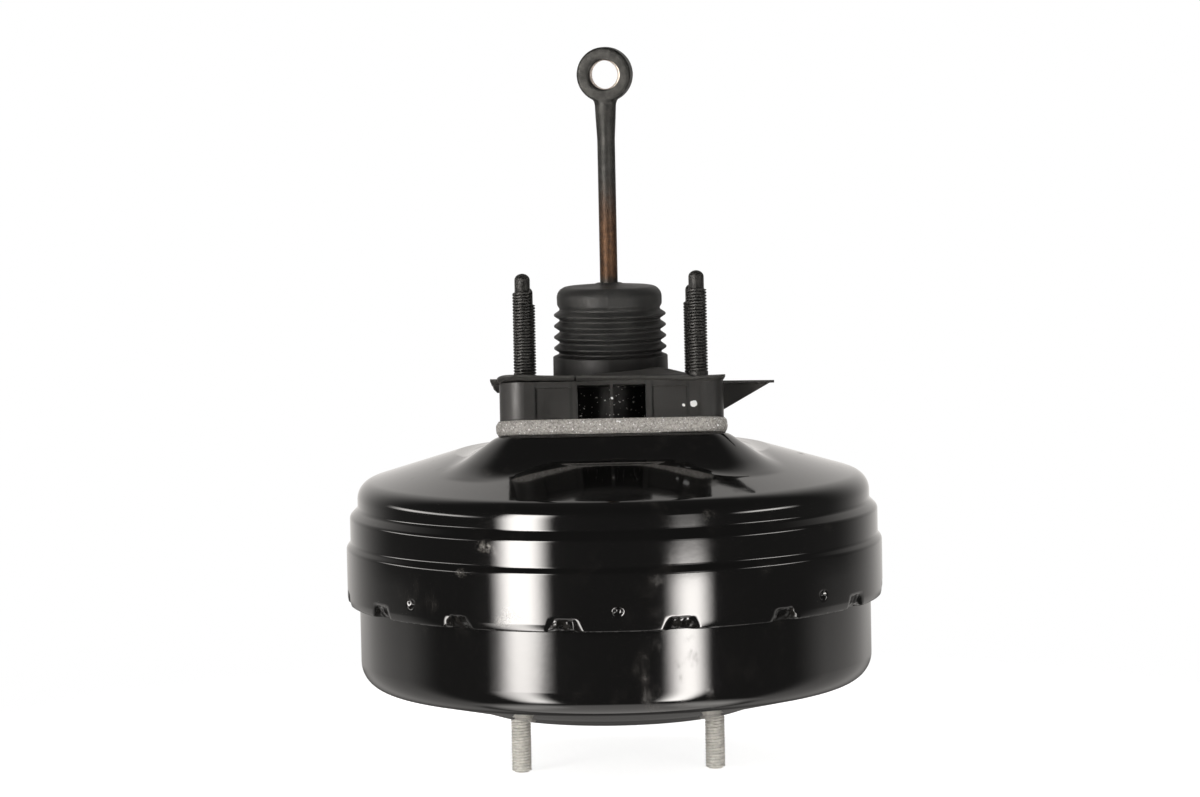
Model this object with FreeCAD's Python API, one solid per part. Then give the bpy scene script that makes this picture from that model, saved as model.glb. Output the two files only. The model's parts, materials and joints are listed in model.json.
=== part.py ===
import FreeCAD, Part

import math
import os

Vec = FreeCAD.Vector
AXIS = Vec(0, 0, 1)
ORIGIN = Vec(0, 0, 0)

# Heights are measured up the drum axis from the master cylinder face, -Y is the front
# Sheet metal
sheet = 1.8
divider_sheet = 1.6
plate_sheet = 1.6

# General clearances
running_fit = 0.05
seat_gap = 0.1
body_gap = 0.3

# How far a cut runs past the faces that it opens, and how close two places count as one
overrun = 1.0
cut_reach = 12.0
same_place = 1e-6

# Springs
wire_sides = 6
coil_steps = 10
closed_coil_pitch = 2.2

# Front shell
drum_radius = 128.0
front_depth = 64.6
bottom_corner = 15.5
bottom_fillet = 13.0
face_radius = 66.0
face_slope_radius = 78.0
face_slope_rise = 4.0
face_fillet = 3.0
flange_fillet = 1.2
seal_hole_fillet = 1.5
pilot_radius = 24.0
pilot_depth = 14.0
pilot_corner = 3.0
seal_hole_radius = 11.0

# Rear shell
shoulder_step = 4.0
skirt_step = 2.0
skirt_below_flange = 7.3
skirt_height = 28.0
skirt_flare = 2.7
flare_radius = 3.0
shoulder_rise = 4.0
shoulder_above_bead = 0.8
upper_wall_height = 11.4
rim_radius = 9.5
cone_rise = 15.0
land_outer_radius = 78.5
land_inner_radius = 70.0
land_fillet = 6.0
land_lip_radius = 3.0
hollow_radius = 58.0
hollow_drop = 4.5

# Crimps and dimples on the skirt
crimp_count = 15
crimp_start_deg = -10.7
crimp_width = 18.0
crimp_top_width = 15.0
crimp_height = 6.6
crimp_depth = 2.2
crimp_taper = 2.2
crimp_corner = 2.2
crimp_backing = 1.6
crimp_root = 0.9
dimple_count = 7
dimple_start_deg = -143.6
dimple_above_edge = 10.4
dimple_ball_radius = 4.0
dimple_depth = 1.2

# Inclined dash pad and what is stacked on it
pad_tilt_deg = 8.0
pad_above_land = 5.2
pad_half = 57.0
pad_corner = 14.2
pad_foot_half = 81.5
pad_foot_drop = 6.0
pad_recess_rise = 9.0
pad_recess_spread = 12.0
foam_thickness = 7.7
foam_half = 56.4
foam_hole_radius = 40.0
foam_stud_clearance = 1.5
foam_edge_radius = 2.6
spacer_height = 18.2
gasket_thickness = 2.4

# Hub neck of the rear shell
neck_radius = 26.0
neck_above_pad = 39.8
neck_lip_radius = 21.0
neck_flange_radius = 31.0

# Firewall studs
stud_radius = 4.95
stud_pcd = 121.0
firewall_stud_reach = 50.0
stud_head_radius = 8.0
stud_head_height = 4.0
stud_shank_radius = 5.6
stud_hole_clearance = 0.2
loose_hole_clearance = 1.25
dog_radius = 3.8
dog_length = 10.0
dog_nose = 2.2
dog_shoulder = 1.0

# Master cylinder studs
cylinder_stud_spacing = 97.5
cylinder_stud_reach = 33.0
cylinder_stud_chamfer = 0.9

# Reinforcement plates
reinforcement = 3.0
rear_plate_half = 53.0
rear_plate_corner = 11.0
rear_plate_hole = 32.0
rear_plate_rib_inset = 5.0
rear_plate_rib_width = 2.0
rear_plate_rib_height = 1.5
front_plate_end_radius = 14.0
front_plate_hole_gap = 1.2

# Dash spacer
spacer_half = 55.0
boss_radius = 12.2
spacer_wall = 2.5
spacer_deck = 2.0
spacer_hole_radius = 32.0
spacer_rib = 1.6
window_half = 16.6
window_lip = 1.8
window_frame = 3.2
panel_recess = 1.0
panel_band = 3.0
panel_past_boss_axis = 5.5
wing_reach = 25.5
wing_height = 14.2
wing_web = 2.0
wing_lip = 1.2
wing_lip_width = 11.0
wing_from_front = 24.0

# Dash gasket
gasket_half = 56.0
gasket_lip = 3.4
gasket_corner = 9.0
gasket_bevel = 1.4
gasket_slit = 0.8
gasket_slit_x = -18.0
gasket_slit_length = 9.0

# Diaphragms
membrane = 1.2
roll_width = 7.0
roll_fillet = 2.5
membrane_edge_fillet = 1.6
front_roll_drop = 6.0
rear_roll_drop = 9.0
front_roll_above_bead = 2.0
rear_roll_above_bead = 3.0
front_bead_height = 5.9
front_bead_width = 5.0
rear_bead_height = 5.8
rear_bead_width = 5.0

# Divider
divider_height = 22.0
divider_hub_radius = 27.0
divider_rim_width = 32.0
divider_dish = 2.5
divider_bend = 4.0
divider_seal_outer = 31.0
divider_seal_lip = 2.6

# Power piston
stroke = 30.0
seal_pass_gap = 1.5
mid_tube_radius = 22.0
tail_radius = 20.0
tail_past_neck = 28.0
rear_flange_radius = 34.0
rear_flange_height = 5.0
front_nose_radius = 19.0
front_hub_radius = 32.0
front_hub_height = 10.0
front_nose_below_hub = 3.0
roll_room = 14.2
plate_dish = 4.0
plate_rim = 3.0
plate_rim_fillet = 2.0
plate_slope = 12.0
plate_fillet = 4.0
front_plate_edge_width = 12.0
rear_plate_edge_width = 24.0
lock_ring_height = 1.8
lock_ring_radius = 30.0

# Bores in the valve body
plunger_radius = 9.0
chamber_radius = 17.5
chamber_depth = 58.0
counterbore_radius = 11.0
counterbore_depth = 2.5
vacuum_seat_width = 1.5
vacuum_seat_height = 2.0
passage_radius = 1.5
passage_circle = 15.8
passage_angles = (60.0, 120.0, 240.0, 300.0)
disc_radius = 13.0
disc_height = 6.0

# Stop key
key_thickness = 2.5
key_half_width = 10.0
key_reach = 24.0
key_tail = 12.0
key_above_flange = 10.0
key_fit = 0.15
groove_radius = 6.2

# Air valve plunger and pushrod
lead_travel = 1.5
plunger_tip_gap = 1.8
plunger_nose = 2.0
plunger_head_height = 2.3
plunger_head_clearance = 0.2
ball_radius = 6.0
ball_above_seat = 4.0
socket_mouth = 5.3
rod_radius = 4.45
rod_neck_radius = 5.0
eye_height = 316.3
eye_radius = 13.7
eye_bore_radius = 7.1
eye_thickness = 9.0
eye_yaw_deg = 12.0
eye_chamfer = 1.4
eye_bore_chamfer = 0.5
rod_neck_length = 14.0
rod_neck_draft = 0.3
rod_flare = 5.0
rod_into_eye = 4.0
shoulder_slope = 1.0
shoulder_radius = 5.7
shoulder_height = 1.5

# Valve parts inside the tail
poppet_face = 2.5
poppet_hole = 9.7
poppet_bellows_radius = 13.0
poppet_bellows_length = 7.4
poppet_bead = 3.0
retainer_sheet = 1.2
retainer_hole = 9.8
valve_spring_wire = 0.7
valve_spring_radius = 11.0
valve_spring_length = 17.6
valve_spring_turns = 3
poppet_spring_wire = 0.5
poppet_spring_radius = 11.6
poppet_spring_turns = 2
washer_radius = 12.5
washer_thickness = 1.6
silencer_length = 6.0
filter_length = 10.5
filter_hole = 7.5
filter_from_end = 2.0

# Hub bearing stack
bearing_length = 10.0
seal_length = 8.0
seal_lip_width = 1.4
seal_web = 3.0
seal_lip_height = 1.6
retainer_length = 3.0
retainer_clearance = 0.8

# Output rod
output_radius = 7.0
output_tip_height = 2.0
output_head_height = 5.8
adjuster_stem_radius = 3.95
adjuster_stem_length = 16.0
adjuster_head_height = 6.0
adjuster_across_flats = 12.0
adjuster_dome_radius = 9.0
front_seal_outer = 15.0
front_seal_lip = 1.3

# Return spring
return_wire = 1.9
return_low_radius = 34.0
return_high_radius = 41.0
return_turns = 4

# Dust boot
boot_wall = 1.6
boot_dome_radius = 26.0
boot_crest_radius = 28.7
boot_valley_radius = 25.4
boot_base_radius = 28.7
boot_base_below_neck = 10.0
boot_base_above_neck = 2.6
boot_pitch = 5.45
boot_convolutions = 4
boot_valley_share = 0.35
boot_crest_share = 0.65
boot_collar_corner = 0.6
boot_dome_height = 11.0
boot_dome_corner = 5.0
boot_corner_steps = 5
boot_crown = 2.0
boot_collar_radius = 8.0
boot_collar_height = 2.2
boot_rod_gap = 0.3

# Vacuum check valve
valve_angle_deg = 30.0
valve_circle = 98.0
valve_pocket_radius = 16.0
valve_pocket_level = 12.5
valve_hole_radius = 11.0
valve_body_radius = 8.5
valve_inside = 8.0
valve_drop = 14.0
valve_bore_radius = 3.0
nozzle_radius = 4.6
nozzle_length = 22.0
nozzle_barb = 0.9
nozzle_barb_length = 6.0
valve_cap_radius = 10.5
valve_cap_height = 5.0
grommet_lip = 2.4
grommet_flange = 3.0
disc_valve_radius = 5.6
disc_valve_thickness = 1.2
disc_spring_length = 3.0
disc_spring_wire = 0.2
disc_spring_low_radius = 5.6
disc_spring_high_radius = 3.8
disc_spring_turns = 2
chamber_groove = 2.0
valve_chamber_radius = 6.4
valve_port_radius = 3.0

# Radii and levels worked out from the sizes above
band_radius = drum_radius + shoulder_step
skirt_radius = band_radius + skirt_step
plate_radius = drum_radius - sheet - roll_room
flange_low = front_depth - sheet
skirt_edge = flange_low - skirt_below_flange
divider_low = front_depth + front_bead_height
divider_top = divider_low + divider_height
bead_top = divider_top + rear_bead_height
band_top = bead_top + shoulder_above_bead
shoulder_top = band_top + shoulder_rise
rim_corner = shoulder_top + upper_wall_height
land_level = rim_corner + cone_rise
pad_level = land_level + pad_above_land
neck_top = pad_level + neck_above_pad
tail_end = neck_top + tail_past_neck
chamber_floor = tail_end - chamber_depth
seat_level = chamber_floor + vacuum_seat_height
ball_level = seat_level + ball_above_seat
divider_web = divider_low + divider_dish
divider_seal_low = divider_web - divider_seal_lip
divider_seal_top = divider_web + divider_sheet + divider_seal_lip
rear_flange_low = divider_seal_top + stroke + seal_pass_gap
rear_flange_top = rear_flange_low + rear_flange_height
front_hub_top = divider_seal_low - membrane - plate_sheet - 3 * body_gap
front_hub_low = front_hub_top - front_hub_height
nose_end = front_hub_low - front_nose_below_hub
disc_low = nose_end + output_head_height
disc_top = disc_low + disc_height
key_low = rear_flange_top + key_above_flange
gasket_top = foam_thickness + spacer_height + gasket_thickness
stud_side = stud_pcd / 2 / math.sqrt(2)
pad_tilt = math.radians(pad_tilt_deg)
convolutions_low = neck_top + boot_base_above_neck
dome_low = convolutions_low + boot_convolutions * boot_pitch
boot_top = dome_low + boot_dome_height
rolled_edge = (roll_fillet, roll_fillet, membrane_edge_fillet, plate_fillet, plate_fillet)


def point(radius, height):
    return Vec(radius, 0, height)


def turned(points):
    """Solid of revolution of a closed outline of (radius, height) points."""
    corners = [point(*p) for p in points]
    face = Part.Face(Part.makePolygon(corners + corners[:1]))
    return face.revolve(ORIGIN, AXIS, 360)


def tube(inner, outer, low, high):
    return turned([(inner, low), (outer, low), (outer, high), (inner, high)])


def rod(radius, low, high, x=0.0, y=0.0):
    return Part.makeCylinder(radius, high - low, Vec(x, y, low))


def left_of(direction):
    return Vec(-direction.z, 0, direction.x)


def path_pieces(points, radii):
    """Straight and arc pieces of a path whose inner corners are rounded."""
    pieces = []
    start = point(*points[0])
    for before, corner, after, radius in zip(points, points[1:], points[2:], radii):
        here = point(*corner)
        come = (here - point(*before)).normalize()
        leave = (point(*after) - here).normalize()
        turn = come.getAngle(leave)
        reach = radius * math.tan(turn / 2)
        side = 1.0 if come.x * leave.z - come.z * leave.x > 0 else -1.0
        enter = here - come * reach
        centre = enter + left_of(come) * (radius * side)
        pieces.append(("line", start, enter, left_of(come), None, 0.0))
        start = here + leave * reach
        pieces.append(("arc", enter, start, None, centre, side))
    end = point(*points[-1])
    pieces.append(("line", start, end, left_of((end - start).normalize()), None, 0.0))
    return pieces


def shifted(place, piece, shift):
    """A point of a piece, moved sideways by the shift, left of the way that the path runs."""
    kind, _, _, normal, centre, side = piece
    if kind == "line":
        return place + normal * shift
    outward = (place - centre).normalize()
    return place - outward * (shift * side)


def chain(pieces, shift=0.0):
    """Edges of the path, moved sideways by the shift."""
    edges = []
    for piece in pieces:
        kind, start, end, _, centre, _ = piece
        a = shifted(start, piece, shift)
        b = shifted(end, piece, shift)
        if kind == "line":
            edges.append(Part.makeLine(a, b))
            continue
        middle = ((start - centre) + (end - centre)).normalize()
        radius = (a - centre).Length
        edges.append(Part.Arc(a, centre + middle * radius, b).toShape())
    return edges


def ends(pieces, shift):
    first = shifted(pieces[0][1], pieces[0], shift)
    last = shifted(pieces[-1][2], pieces[-1], shift)
    return first, last


def sheet_turned(points, radii, thickness):
    """Pressed sheet turned about the axis. A positive thickness lies left of the path."""
    pieces = path_pieces(points, radii)
    skin = chain(pieces)
    inside = chain(pieces, thickness)
    a, b = ends(pieces, 0.0)
    c, d = ends(pieces, thickness)
    edges = skin + [Part.makeLine(b, d)] + inside + [Part.makeLine(c, a)]
    wire = Part.Wire(Part.__sortEdges__(edges))
    return Part.Face(wire).revolve(ORIGIN, AXIS, 360)


def filled_turned(points, radii, thickness, low, ceiling):
    """Solid under a path: from the axis out to the path, closed below its two ends."""
    pieces = path_pieces(points, radii)
    edges = chain(pieces, thickness)
    first, last = ends(pieces, thickness)
    corners = [last, point(last.x, ceiling), point(0, ceiling), point(0, low), point(first.x, low), first]
    edges = edges + [Part.makeLine(a, b) for a, b in zip(corners, corners[1:]) if (a - b).Length > same_place]
    wire = Part.Wire(Part.__sortEdges__(edges))
    return Part.Face(wire).revolve(ORIGIN, AXIS, 360)


def rounded_square(half, corner, height):
    """Closed wire of a square with round corners, in a level plane."""
    flat = half - corner
    reach = corner * math.sqrt(0.5)
    edges = []
    for turn in range(4):
        quarter = [
            Part.makeLine(Vec(half, -flat, height), Vec(half, flat, height)),
            Part.Arc(Vec(half, flat, height), Vec(flat + reach, flat + reach, height),
                     Vec(flat, half, height)).toShape(),
        ]
        for edge in quarter:
            edge.rotate(ORIGIN, AXIS, 90 * turn)
            edges.append(edge)
    return Part.Wire(Part.__sortEdges__(edges))


def prism(half, corner, low, high):
    return Part.Face(rounded_square(half, corner, low)).extrude(Vec(0, 0, high - low))


def on_pad(shape):
    """Moves a shape from the pad's own frame to the inclined pad on the drum axis."""
    placed = shape.copy()
    placed.rotate(ORIGIN, Vec(1, 0, 0), -pad_tilt_deg)
    placed.translate(Vec(0, 0, pad_level))
    return placed


def around(shape, count, start_deg, pitch_deg):
    """Copies of a shape round the drum axis. Angles run from the front towards the right."""
    copies = []
    for index in range(count):
        copy = shape.copy()
        copy.rotate(ORIGIN, AXIS, start_deg + index * pitch_deg)
        copies.append(copy)
    return copies


def circles(shape, radius):
    """Edges of a shape that are full circles of the radius."""
    return [edge for edge in shape.Edges if abs(edge.Length - 2 * math.pi * radius) < 0.01]


def stud_places():
    return [(sx * stud_side, sy * stud_side) for sx in (-1, 1) for sy in (-1, 1)]


def cylinder_stud_places():
    return [(side * cylinder_stud_spacing / 2, 0.0) for side in (-1, 1)]


def holes_at(places, radius):
    return [rod(radius, -cut_reach, cut_reach, x, y) for x, y in places]


def wire_section(radius, wire, height):
    """Outline of a spring's wire where it crosses the plane through the axis."""
    corners = []
    for side in range(wire_sides + 1):
        angle = 2 * math.pi * side / wire_sides
        corners.append(point(radius + wire * math.cos(angle), height + wire * math.sin(angle)))
    return Part.makePolygon(corners)


def coil_spring(low_radius, high_radius, wire, low, high, active_turns):
    """Compression spring with a closed coil at each end, straight or conical."""
    turns = active_turns + 2
    closed_rise = closed_coil_pitch * wire
    free_rise = high - low - 2 * wire - 2 * closed_rise
    sections = []
    for step in range(turns * coil_steps + 1):
        turn = step / coil_steps
        active = min(max(turn - 1, 0), active_turns)
        height = low + wire + (turn - active) * closed_rise + free_rise * active / active_turns
        radius = low_radius + (high_radius - low_radius) * turn / turns
        section = wire_section(radius, wire, height)
        section.rotate(ORIGIN, AXIS, 360 * turn)
        sections.append(section)
    return Part.makeLoft(sections, True, True)


def hexagon_prism(across_flats, low, high):
    radius = across_flats / math.sqrt(3)
    corners = [Vec(radius * math.cos(math.radians(60 * k)), radius * math.sin(math.radians(60 * k)), low)
               for k in range(7)]
    return Part.Face(Part.makePolygon(corners)).extrude(Vec(0, 0, high - low))


def crimp_outline(width, top_width, height, corner, depth, drop):
    """Arched outline of one crimp on the front of the skirt, open at the skirt's edge."""
    y = -(skirt_radius - depth)
    low = skirt_edge - drop
    top = skirt_edge + height
    half = width / 2
    half_top = top_width / 2
    points = [Vec(-half, y, low), Vec(-half, y, top - corner), Vec(-half_top + corner / 2, y, top),
              Vec(half_top - corner / 2, y, top), Vec(half, y, top - corner), Vec(half, y, low)]
    return Part.makePolygon(points + points[:1])


def crimp_form(grow, outer_depth, inner_depth, drop):
    """Tapered form of one crimp, larger than the pressed pocket by grow on each side."""
    width = crimp_width + 2 * grow
    top_width = crimp_top_width + 2 * grow
    height = crimp_height + grow
    outer = crimp_outline(width, top_width, height, crimp_corner, outer_depth, drop)
    inner = crimp_outline(width - 2 * crimp_taper, top_width - 2 * crimp_taper, height - crimp_taper,
                          crimp_corner, inner_depth, drop)
    return Part.makeLoft([outer, inner], True, True)


def pad_plug(shift, root_level):
    """Body under the inclined pad: a tilted rounded square that spreads down to the cone."""
    top = on_pad(Part.Face(rounded_square(pad_half - shift / 4, pad_corner - shift / 4, -shift))).OuterWire
    foot_level = land_level - pad_foot_drop - shift
    foot = rounded_square(pad_foot_half - shift / 4, pad_corner + pad_foot_half - pad_half, foot_level)
    flank = Part.makeLoft([foot, top], True, True)
    root = Part.Face(foot).extrude(Vec(0, 0, root_level - foot_level))
    return flank.fuse(root)


def pad_recess(grow):
    """Room above the pad that is pressed into the land where the pad lies lower than it."""
    low = rounded_square(pad_half + grow, pad_corner + grow, -grow)
    high = rounded_square(pad_half + pad_recess_spread + grow, pad_corner + pad_recess_spread + grow,
                          pad_recess_rise)
    return on_pad(Part.makeLoft([low, high], True, True))


def rear_shell_path():
    """Outside of the rear shell from the skirt's edge up to the hollow round the pad."""
    points = [
        (skirt_radius, skirt_edge),
        (skirt_radius, skirt_edge + skirt_height),
        (band_radius, skirt_edge + skirt_height + skirt_flare),
        (band_radius, band_top),
        (drum_radius, shoulder_top),
        (drum_radius, rim_corner),
        (land_outer_radius, land_level),
        (land_inner_radius, land_level),
        (hollow_radius, land_level - hollow_drop),
    ]
    radii = [flare_radius, flare_radius, flare_radius, flare_radius, rim_radius, land_fillet, land_lip_radius]
    return points, radii


def rear_shell():
    points, radii = rear_shell_path()
    plug_root = rim_corner - 2 * sheet
    body = filled_turned(points, radii, 0.0, skirt_edge, plug_root)
    body = body.fuse(pad_plug(0.0, plug_root)).cut(pad_recess(0.0))
    room = filled_turned(points, radii, sheet, skirt_edge - sheet, plug_root - sheet)
    room = room.fuse(pad_plug(sheet, plug_root - sheet)).cut(pad_recess(sheet))
    shell = body.cut(room)
    shell = shell.cut(rod(neck_radius + seat_gap, plug_root, neck_top))
    holes = holes_at(stud_places(), stud_shank_radius + stud_hole_clearance)
    shell = shell.cut([on_pad(hole) for hole in holes])
    pitch_deg = 360.0 / crimp_count
    bumps = around(crimp_form(crimp_backing, crimp_root, crimp_depth + crimp_backing, 0.0),
                   crimp_count, crimp_start_deg, pitch_deg)
    pockets = around(crimp_form(0.0, -sheet, crimp_depth, sheet), crimp_count, crimp_start_deg, pitch_deg)
    shell = shell.fuse(bumps).cut(pockets)
    ball = Part.makeSphere(dimple_ball_radius,
                           Vec(0, -(skirt_radius + dimple_ball_radius - dimple_depth),
                               skirt_edge + dimple_above_edge))
    return shell.cut(around(ball, dimple_count, dimple_start_deg, 2 * pitch_deg)).removeSplitter()


def hub_neck():
    """Drawn tube on the drum axis, with an inclined weld flange under the pad and a lip at its top."""
    body = rod(neck_radius, pad_level - cut_reach, neck_top)
    below = Part.makeBox(4 * neck_radius, 4 * neck_radius, 2 * cut_reach,
                         Vec(-2 * neck_radius, -2 * neck_radius, -2 * sheet - 2 * cut_reach))
    flange = rod(neck_flange_radius, -2 * sheet, -sheet)
    body = body.cut(on_pad(below)).fuse(on_pad(flange))
    bore = rod(neck_radius - sheet, pad_level - 2 * cut_reach, neck_top - sheet)
    return body.cut([bore, rod(neck_lip_radius, pad_level, neck_top + overrun)])


def check_valve_place():
    angle = math.radians(valve_angle_deg)
    return valve_circle * math.sin(angle), valve_circle * math.cos(angle)


def front_shell():
    points = [
        (skirt_radius - sheet - seat_gap, flange_low),
        (drum_radius, flange_low),
        (drum_radius, bottom_corner),
        (face_slope_radius, face_slope_rise),
        (face_radius, 0.0),
        (pilot_radius, 0.0),
        (pilot_radius, pilot_depth),
        (seal_hole_radius, pilot_depth),
    ]
    radii = [flange_fillet, bottom_fillet, face_fillet, face_fillet, pilot_corner, seal_hole_fillet]
    shell = sheet_turned(points, radii, -sheet)
    x, y = check_valve_place()
    outside = turned([(face_radius, 0), (face_radius, -overrun), (drum_radius, -overrun),
                      (drum_radius, bottom_corner), (face_slope_radius, face_slope_rise)])
    cup = rod(valve_pocket_radius + sheet, 0, valve_pocket_level + sheet, x, y).cut(outside)
    shell = shell.fuse(cup).cut(rod(valve_pocket_radius, 0, valve_pocket_level, x, y))
    holes = holes_at(cylinder_stud_places(), stud_shank_radius + stud_hole_clearance)
    holes.append(rod(valve_hole_radius, 0, valve_pocket_level + 2 * sheet, x, y))
    return shell.cut(holes).removeSplitter()


def divider_plate():
    outer = band_radius - sheet - seat_gap
    points = [
        (outer, divider_top),
        (outer, divider_low),
        (outer - divider_rim_width, divider_low),
        (outer - divider_rim_width - 2 * divider_bend, divider_web),
        (divider_hub_radius, divider_web),
    ]
    return sheet_turned(points, [divider_bend, divider_bend, divider_bend], -divider_sheet)


def divider_seal():
    inner = mid_tube_radius + running_fit
    low = divider_seal_low
    high = divider_seal_top
    ring = tube(inner, divider_seal_outer, low, high)
    groove = tube(divider_hub_radius, divider_seal_outer + overrun, divider_web, divider_web + divider_sheet)
    return ring.cut(groove)


def rear_reinforcement_plate():
    low = -sheet - reinforcement
    plate = prism(rear_plate_half, rear_plate_corner, low, -sheet)
    holes = holes_at(stud_places(), stud_shank_radius + stud_hole_clearance)
    plate = plate.cut(holes + holes_at([(0, 0)], rear_plate_hole))
    rib_inner = rear_plate_hole + rear_plate_rib_inset
    rib = tube(rib_inner, rib_inner + rear_plate_rib_width, low - rear_plate_rib_height, low)
    return on_pad(plate.fuse(rib))


def front_reinforcement_plate():
    half = cylinder_stud_spacing / 2
    low = sheet
    ends_of_plate = [rod(front_plate_end_radius, low, low + reinforcement, x, y)
                     for x, y in cylinder_stud_places()]
    middle = rod(return_low_radius + 2 * return_wire, low, low + reinforcement)
    web = Part.makeBox(2 * half, 2 * front_plate_end_radius, reinforcement,
                       Vec(-half, -front_plate_end_radius, low))
    plate = middle.fuse(ends_of_plate + [web])
    holes = holes_at(cylinder_stud_places(), stud_shank_radius + stud_hole_clearance)
    holes += holes_at([(0, 0)], pilot_radius + sheet + front_plate_hole_gap)
    return plate.cut(holes).removeSplitter()


def firewall_stud(x, y):
    """Stud with a head and a pressed shank under the pad, a thread and a round-nosed dog point."""
    head_low = -sheet - reinforcement - stud_head_height
    head_top = head_low + stud_head_height
    tip = gasket_top + firewall_stud_reach
    profile = [(0, head_low), (stud_head_radius, head_low), (stud_head_radius, head_top),
               (stud_shank_radius, head_top), (stud_shank_radius, 0), (stud_radius, 0),
               (stud_radius, tip - dog_length - dog_shoulder), (dog_radius, tip - dog_length),
               (dog_radius, tip), (0, tip)]
    stud = turned(profile)
    nose = [edge for edge in circles(stud, dog_radius) if edge.BoundBox.ZMin > tip - dog_shoulder]
    stud = stud.makeFillet(dog_nose, nose)
    stud.translate(Vec(x, y, 0))
    return on_pad(stud)


def firewall_studs():
    return Part.Compound([firewall_stud(x, y) for x, y in stud_places()])


def cylinder_stud(x, y):
    head_low = sheet + reinforcement
    profile = [(0, head_low + stud_head_height), (stud_head_radius, head_low + stud_head_height),
               (stud_head_radius, head_low), (stud_shank_radius, head_low), (stud_shank_radius, 0),
               (stud_radius, 0), (stud_radius, -cylinder_stud_reach + cylinder_stud_chamfer),
               (stud_radius - cylinder_stud_chamfer, -cylinder_stud_reach), (0, -cylinder_stud_reach)]
    stud = turned(profile)
    stud.translate(Vec(x, y, 0))
    return stud


def master_cylinder_studs():
    return Part.Compound([cylinder_stud(x, y) for x, y in cylinder_stud_places()])


def foam_seal():
    low = seat_gap
    high = foam_thickness - seat_gap
    pad = prism(foam_half, pad_corner - 1, low, high)
    pad = pad.makeFillet(foam_edge_radius, [edge for edge in pad.Edges if edge.BoundBox.ZLength < same_place])
    holes = holes_at(stud_places(), stud_radius + foam_stud_clearance)
    return on_pad(pad.cut(holes + holes_at([(0, 0)], foam_hole_radius)))


def hub_shift():
    """How far the drum axis has moved towards the front of the tilted spacer at its middle."""
    return -(foam_thickness + spacer_height / 2) * math.tan(pad_tilt)


def spacer_cell_ribs(low, high):
    """Ribs from the central ring to the bosses and walls, under the deck."""
    length = spacer_half - spacer_wall / 2
    boss_distance = stud_side * math.sqrt(2)
    ribs = []
    for quarter in range(4):
        diagonal = Part.makeBox(boss_distance, spacer_rib, high - low, Vec(0, -spacer_rib / 2, low))
        diagonal.rotate(ORIGIN, AXIS, 45 + 90 * quarter)
        cross = Part.makeBox(length, spacer_rib, high - low, Vec(0, -spacer_rib / 2, low))
        cross.rotate(ORIGIN, AXIS, 90 * quarter)
        ribs += [diagonal, cross]
    return ribs


def spacer_wing(low, high):
    """Triangular side wing with a thin top lip."""
    y = -spacer_half + wing_from_front
    root = spacer_half - spacer_wall
    tip = spacer_half + wing_reach
    foot = high - wing_height
    web = Part.Face(Part.makePolygon([Vec(root, y, high), Vec(tip, y, high), Vec(spacer_half, y, foot),
                                      Vec(root, y, foot), Vec(root, y, high)]))
    web = web.extrude(Vec(0, wing_web, 0))
    lip = Part.Face(Part.makePolygon([Vec(root, y - wing_lip_width / 2, high - wing_lip),
                                      Vec(tip, y, high - wing_lip),
                                      Vec(tip, y + wing_web, high - wing_lip),
                                      Vec(root, y + wing_lip_width, high - wing_lip),
                                      Vec(root, y - wing_lip_width / 2, high - wing_lip)]))
    return web.fuse(lip.extrude(Vec(0, 0, wing_lip)))


def spacer_front_cuts(low, high):
    """Window and recessed panels of one face of the spacer, on its front side."""
    y = -spacer_half
    cuts = []
    for side in (-1, 1):
        near = spacer_rib / 2
        x = near if side > 0 else -window_half
        cuts.append(Part.makeBox(window_half - near, 2 * spacer_wall, high - low - window_lip,
                                 Vec(x, y - overrun, low)))
        panel = stud_side - panel_past_boss_axis - window_half - window_frame
        x = window_half + window_frame if side > 0 else -window_half - window_frame - panel
        cuts.append(Part.makeBox(panel, panel_recess + overrun, high - low - panel_band,
                                 Vec(x, y - overrun, low)))
    return cuts


def dash_spacer():
    low = foam_thickness
    high = foam_thickness + spacer_height
    block = prism(spacer_half, boss_radius, low, high)
    hollow = prism(spacer_half - spacer_wall, boss_radius - spacer_wall, low, high - spacer_deck)
    frame = block.cut(hollow)
    ring = rod(spacer_hole_radius + spacer_wall, low, high, 0, hub_shift())
    bosses = [rod(boss_radius, low, high, x, y) for x, y in stud_places()]
    frame = frame.fuse([ring] + bosses + spacer_cell_ribs(low, high) + [spacer_wing(low, high)])
    cuts = spacer_front_cuts(low, high)
    back = [cut.copy() for cut in cuts]
    for cut in back:
        cut.rotate(ORIGIN, AXIS, 180)
    holes = [rod(stud_radius + loose_hole_clearance, low, high, x, y) for x, y in stud_places()]
    holes.append(rod(spacer_hole_radius, low, high, 0, hub_shift()))
    return on_pad(frame.cut(cuts + back + holes).removeSplitter())


def dash_gasket():
    low = foam_thickness + spacer_height
    high = low + gasket_thickness
    sheet_body = prism(gasket_half, gasket_corner, low, high)
    left = Part.makeBox(gasket_half, 2 * (gasket_half - gasket_corner), gasket_thickness,
                        Vec(-gasket_half - gasket_lip, -gasket_half + gasket_corner, low))
    body = sheet_body.fuse(left)
    slit = Part.makeBox(gasket_slit, gasket_slit_length, gasket_thickness,
                        Vec(gasket_slit_x, -gasket_half, low))
    holes = [rod(stud_radius + loose_hole_clearance, low, high, x, y) for x, y in stud_places()]
    holes.append(rod(spacer_hole_radius, low, high, 0, hub_shift()))
    body = body.removeSplitter()
    rim = [edge for edge in body.Edges if edge.BoundBox.ZMax < low + same_place]
    body = body.makeChamfer(gasket_bevel, rim)
    return on_pad(body.cut(holes + [slit]))


def bearing_stack():
    """Heights of the bearing, seal and retainer in the hub neck, from the lip down."""
    top = neck_top - sheet
    bearing_low = top - bearing_length
    seal_low = bearing_low - seal_length
    return top, bearing_low, seal_low, seal_low - retainer_length


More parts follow.
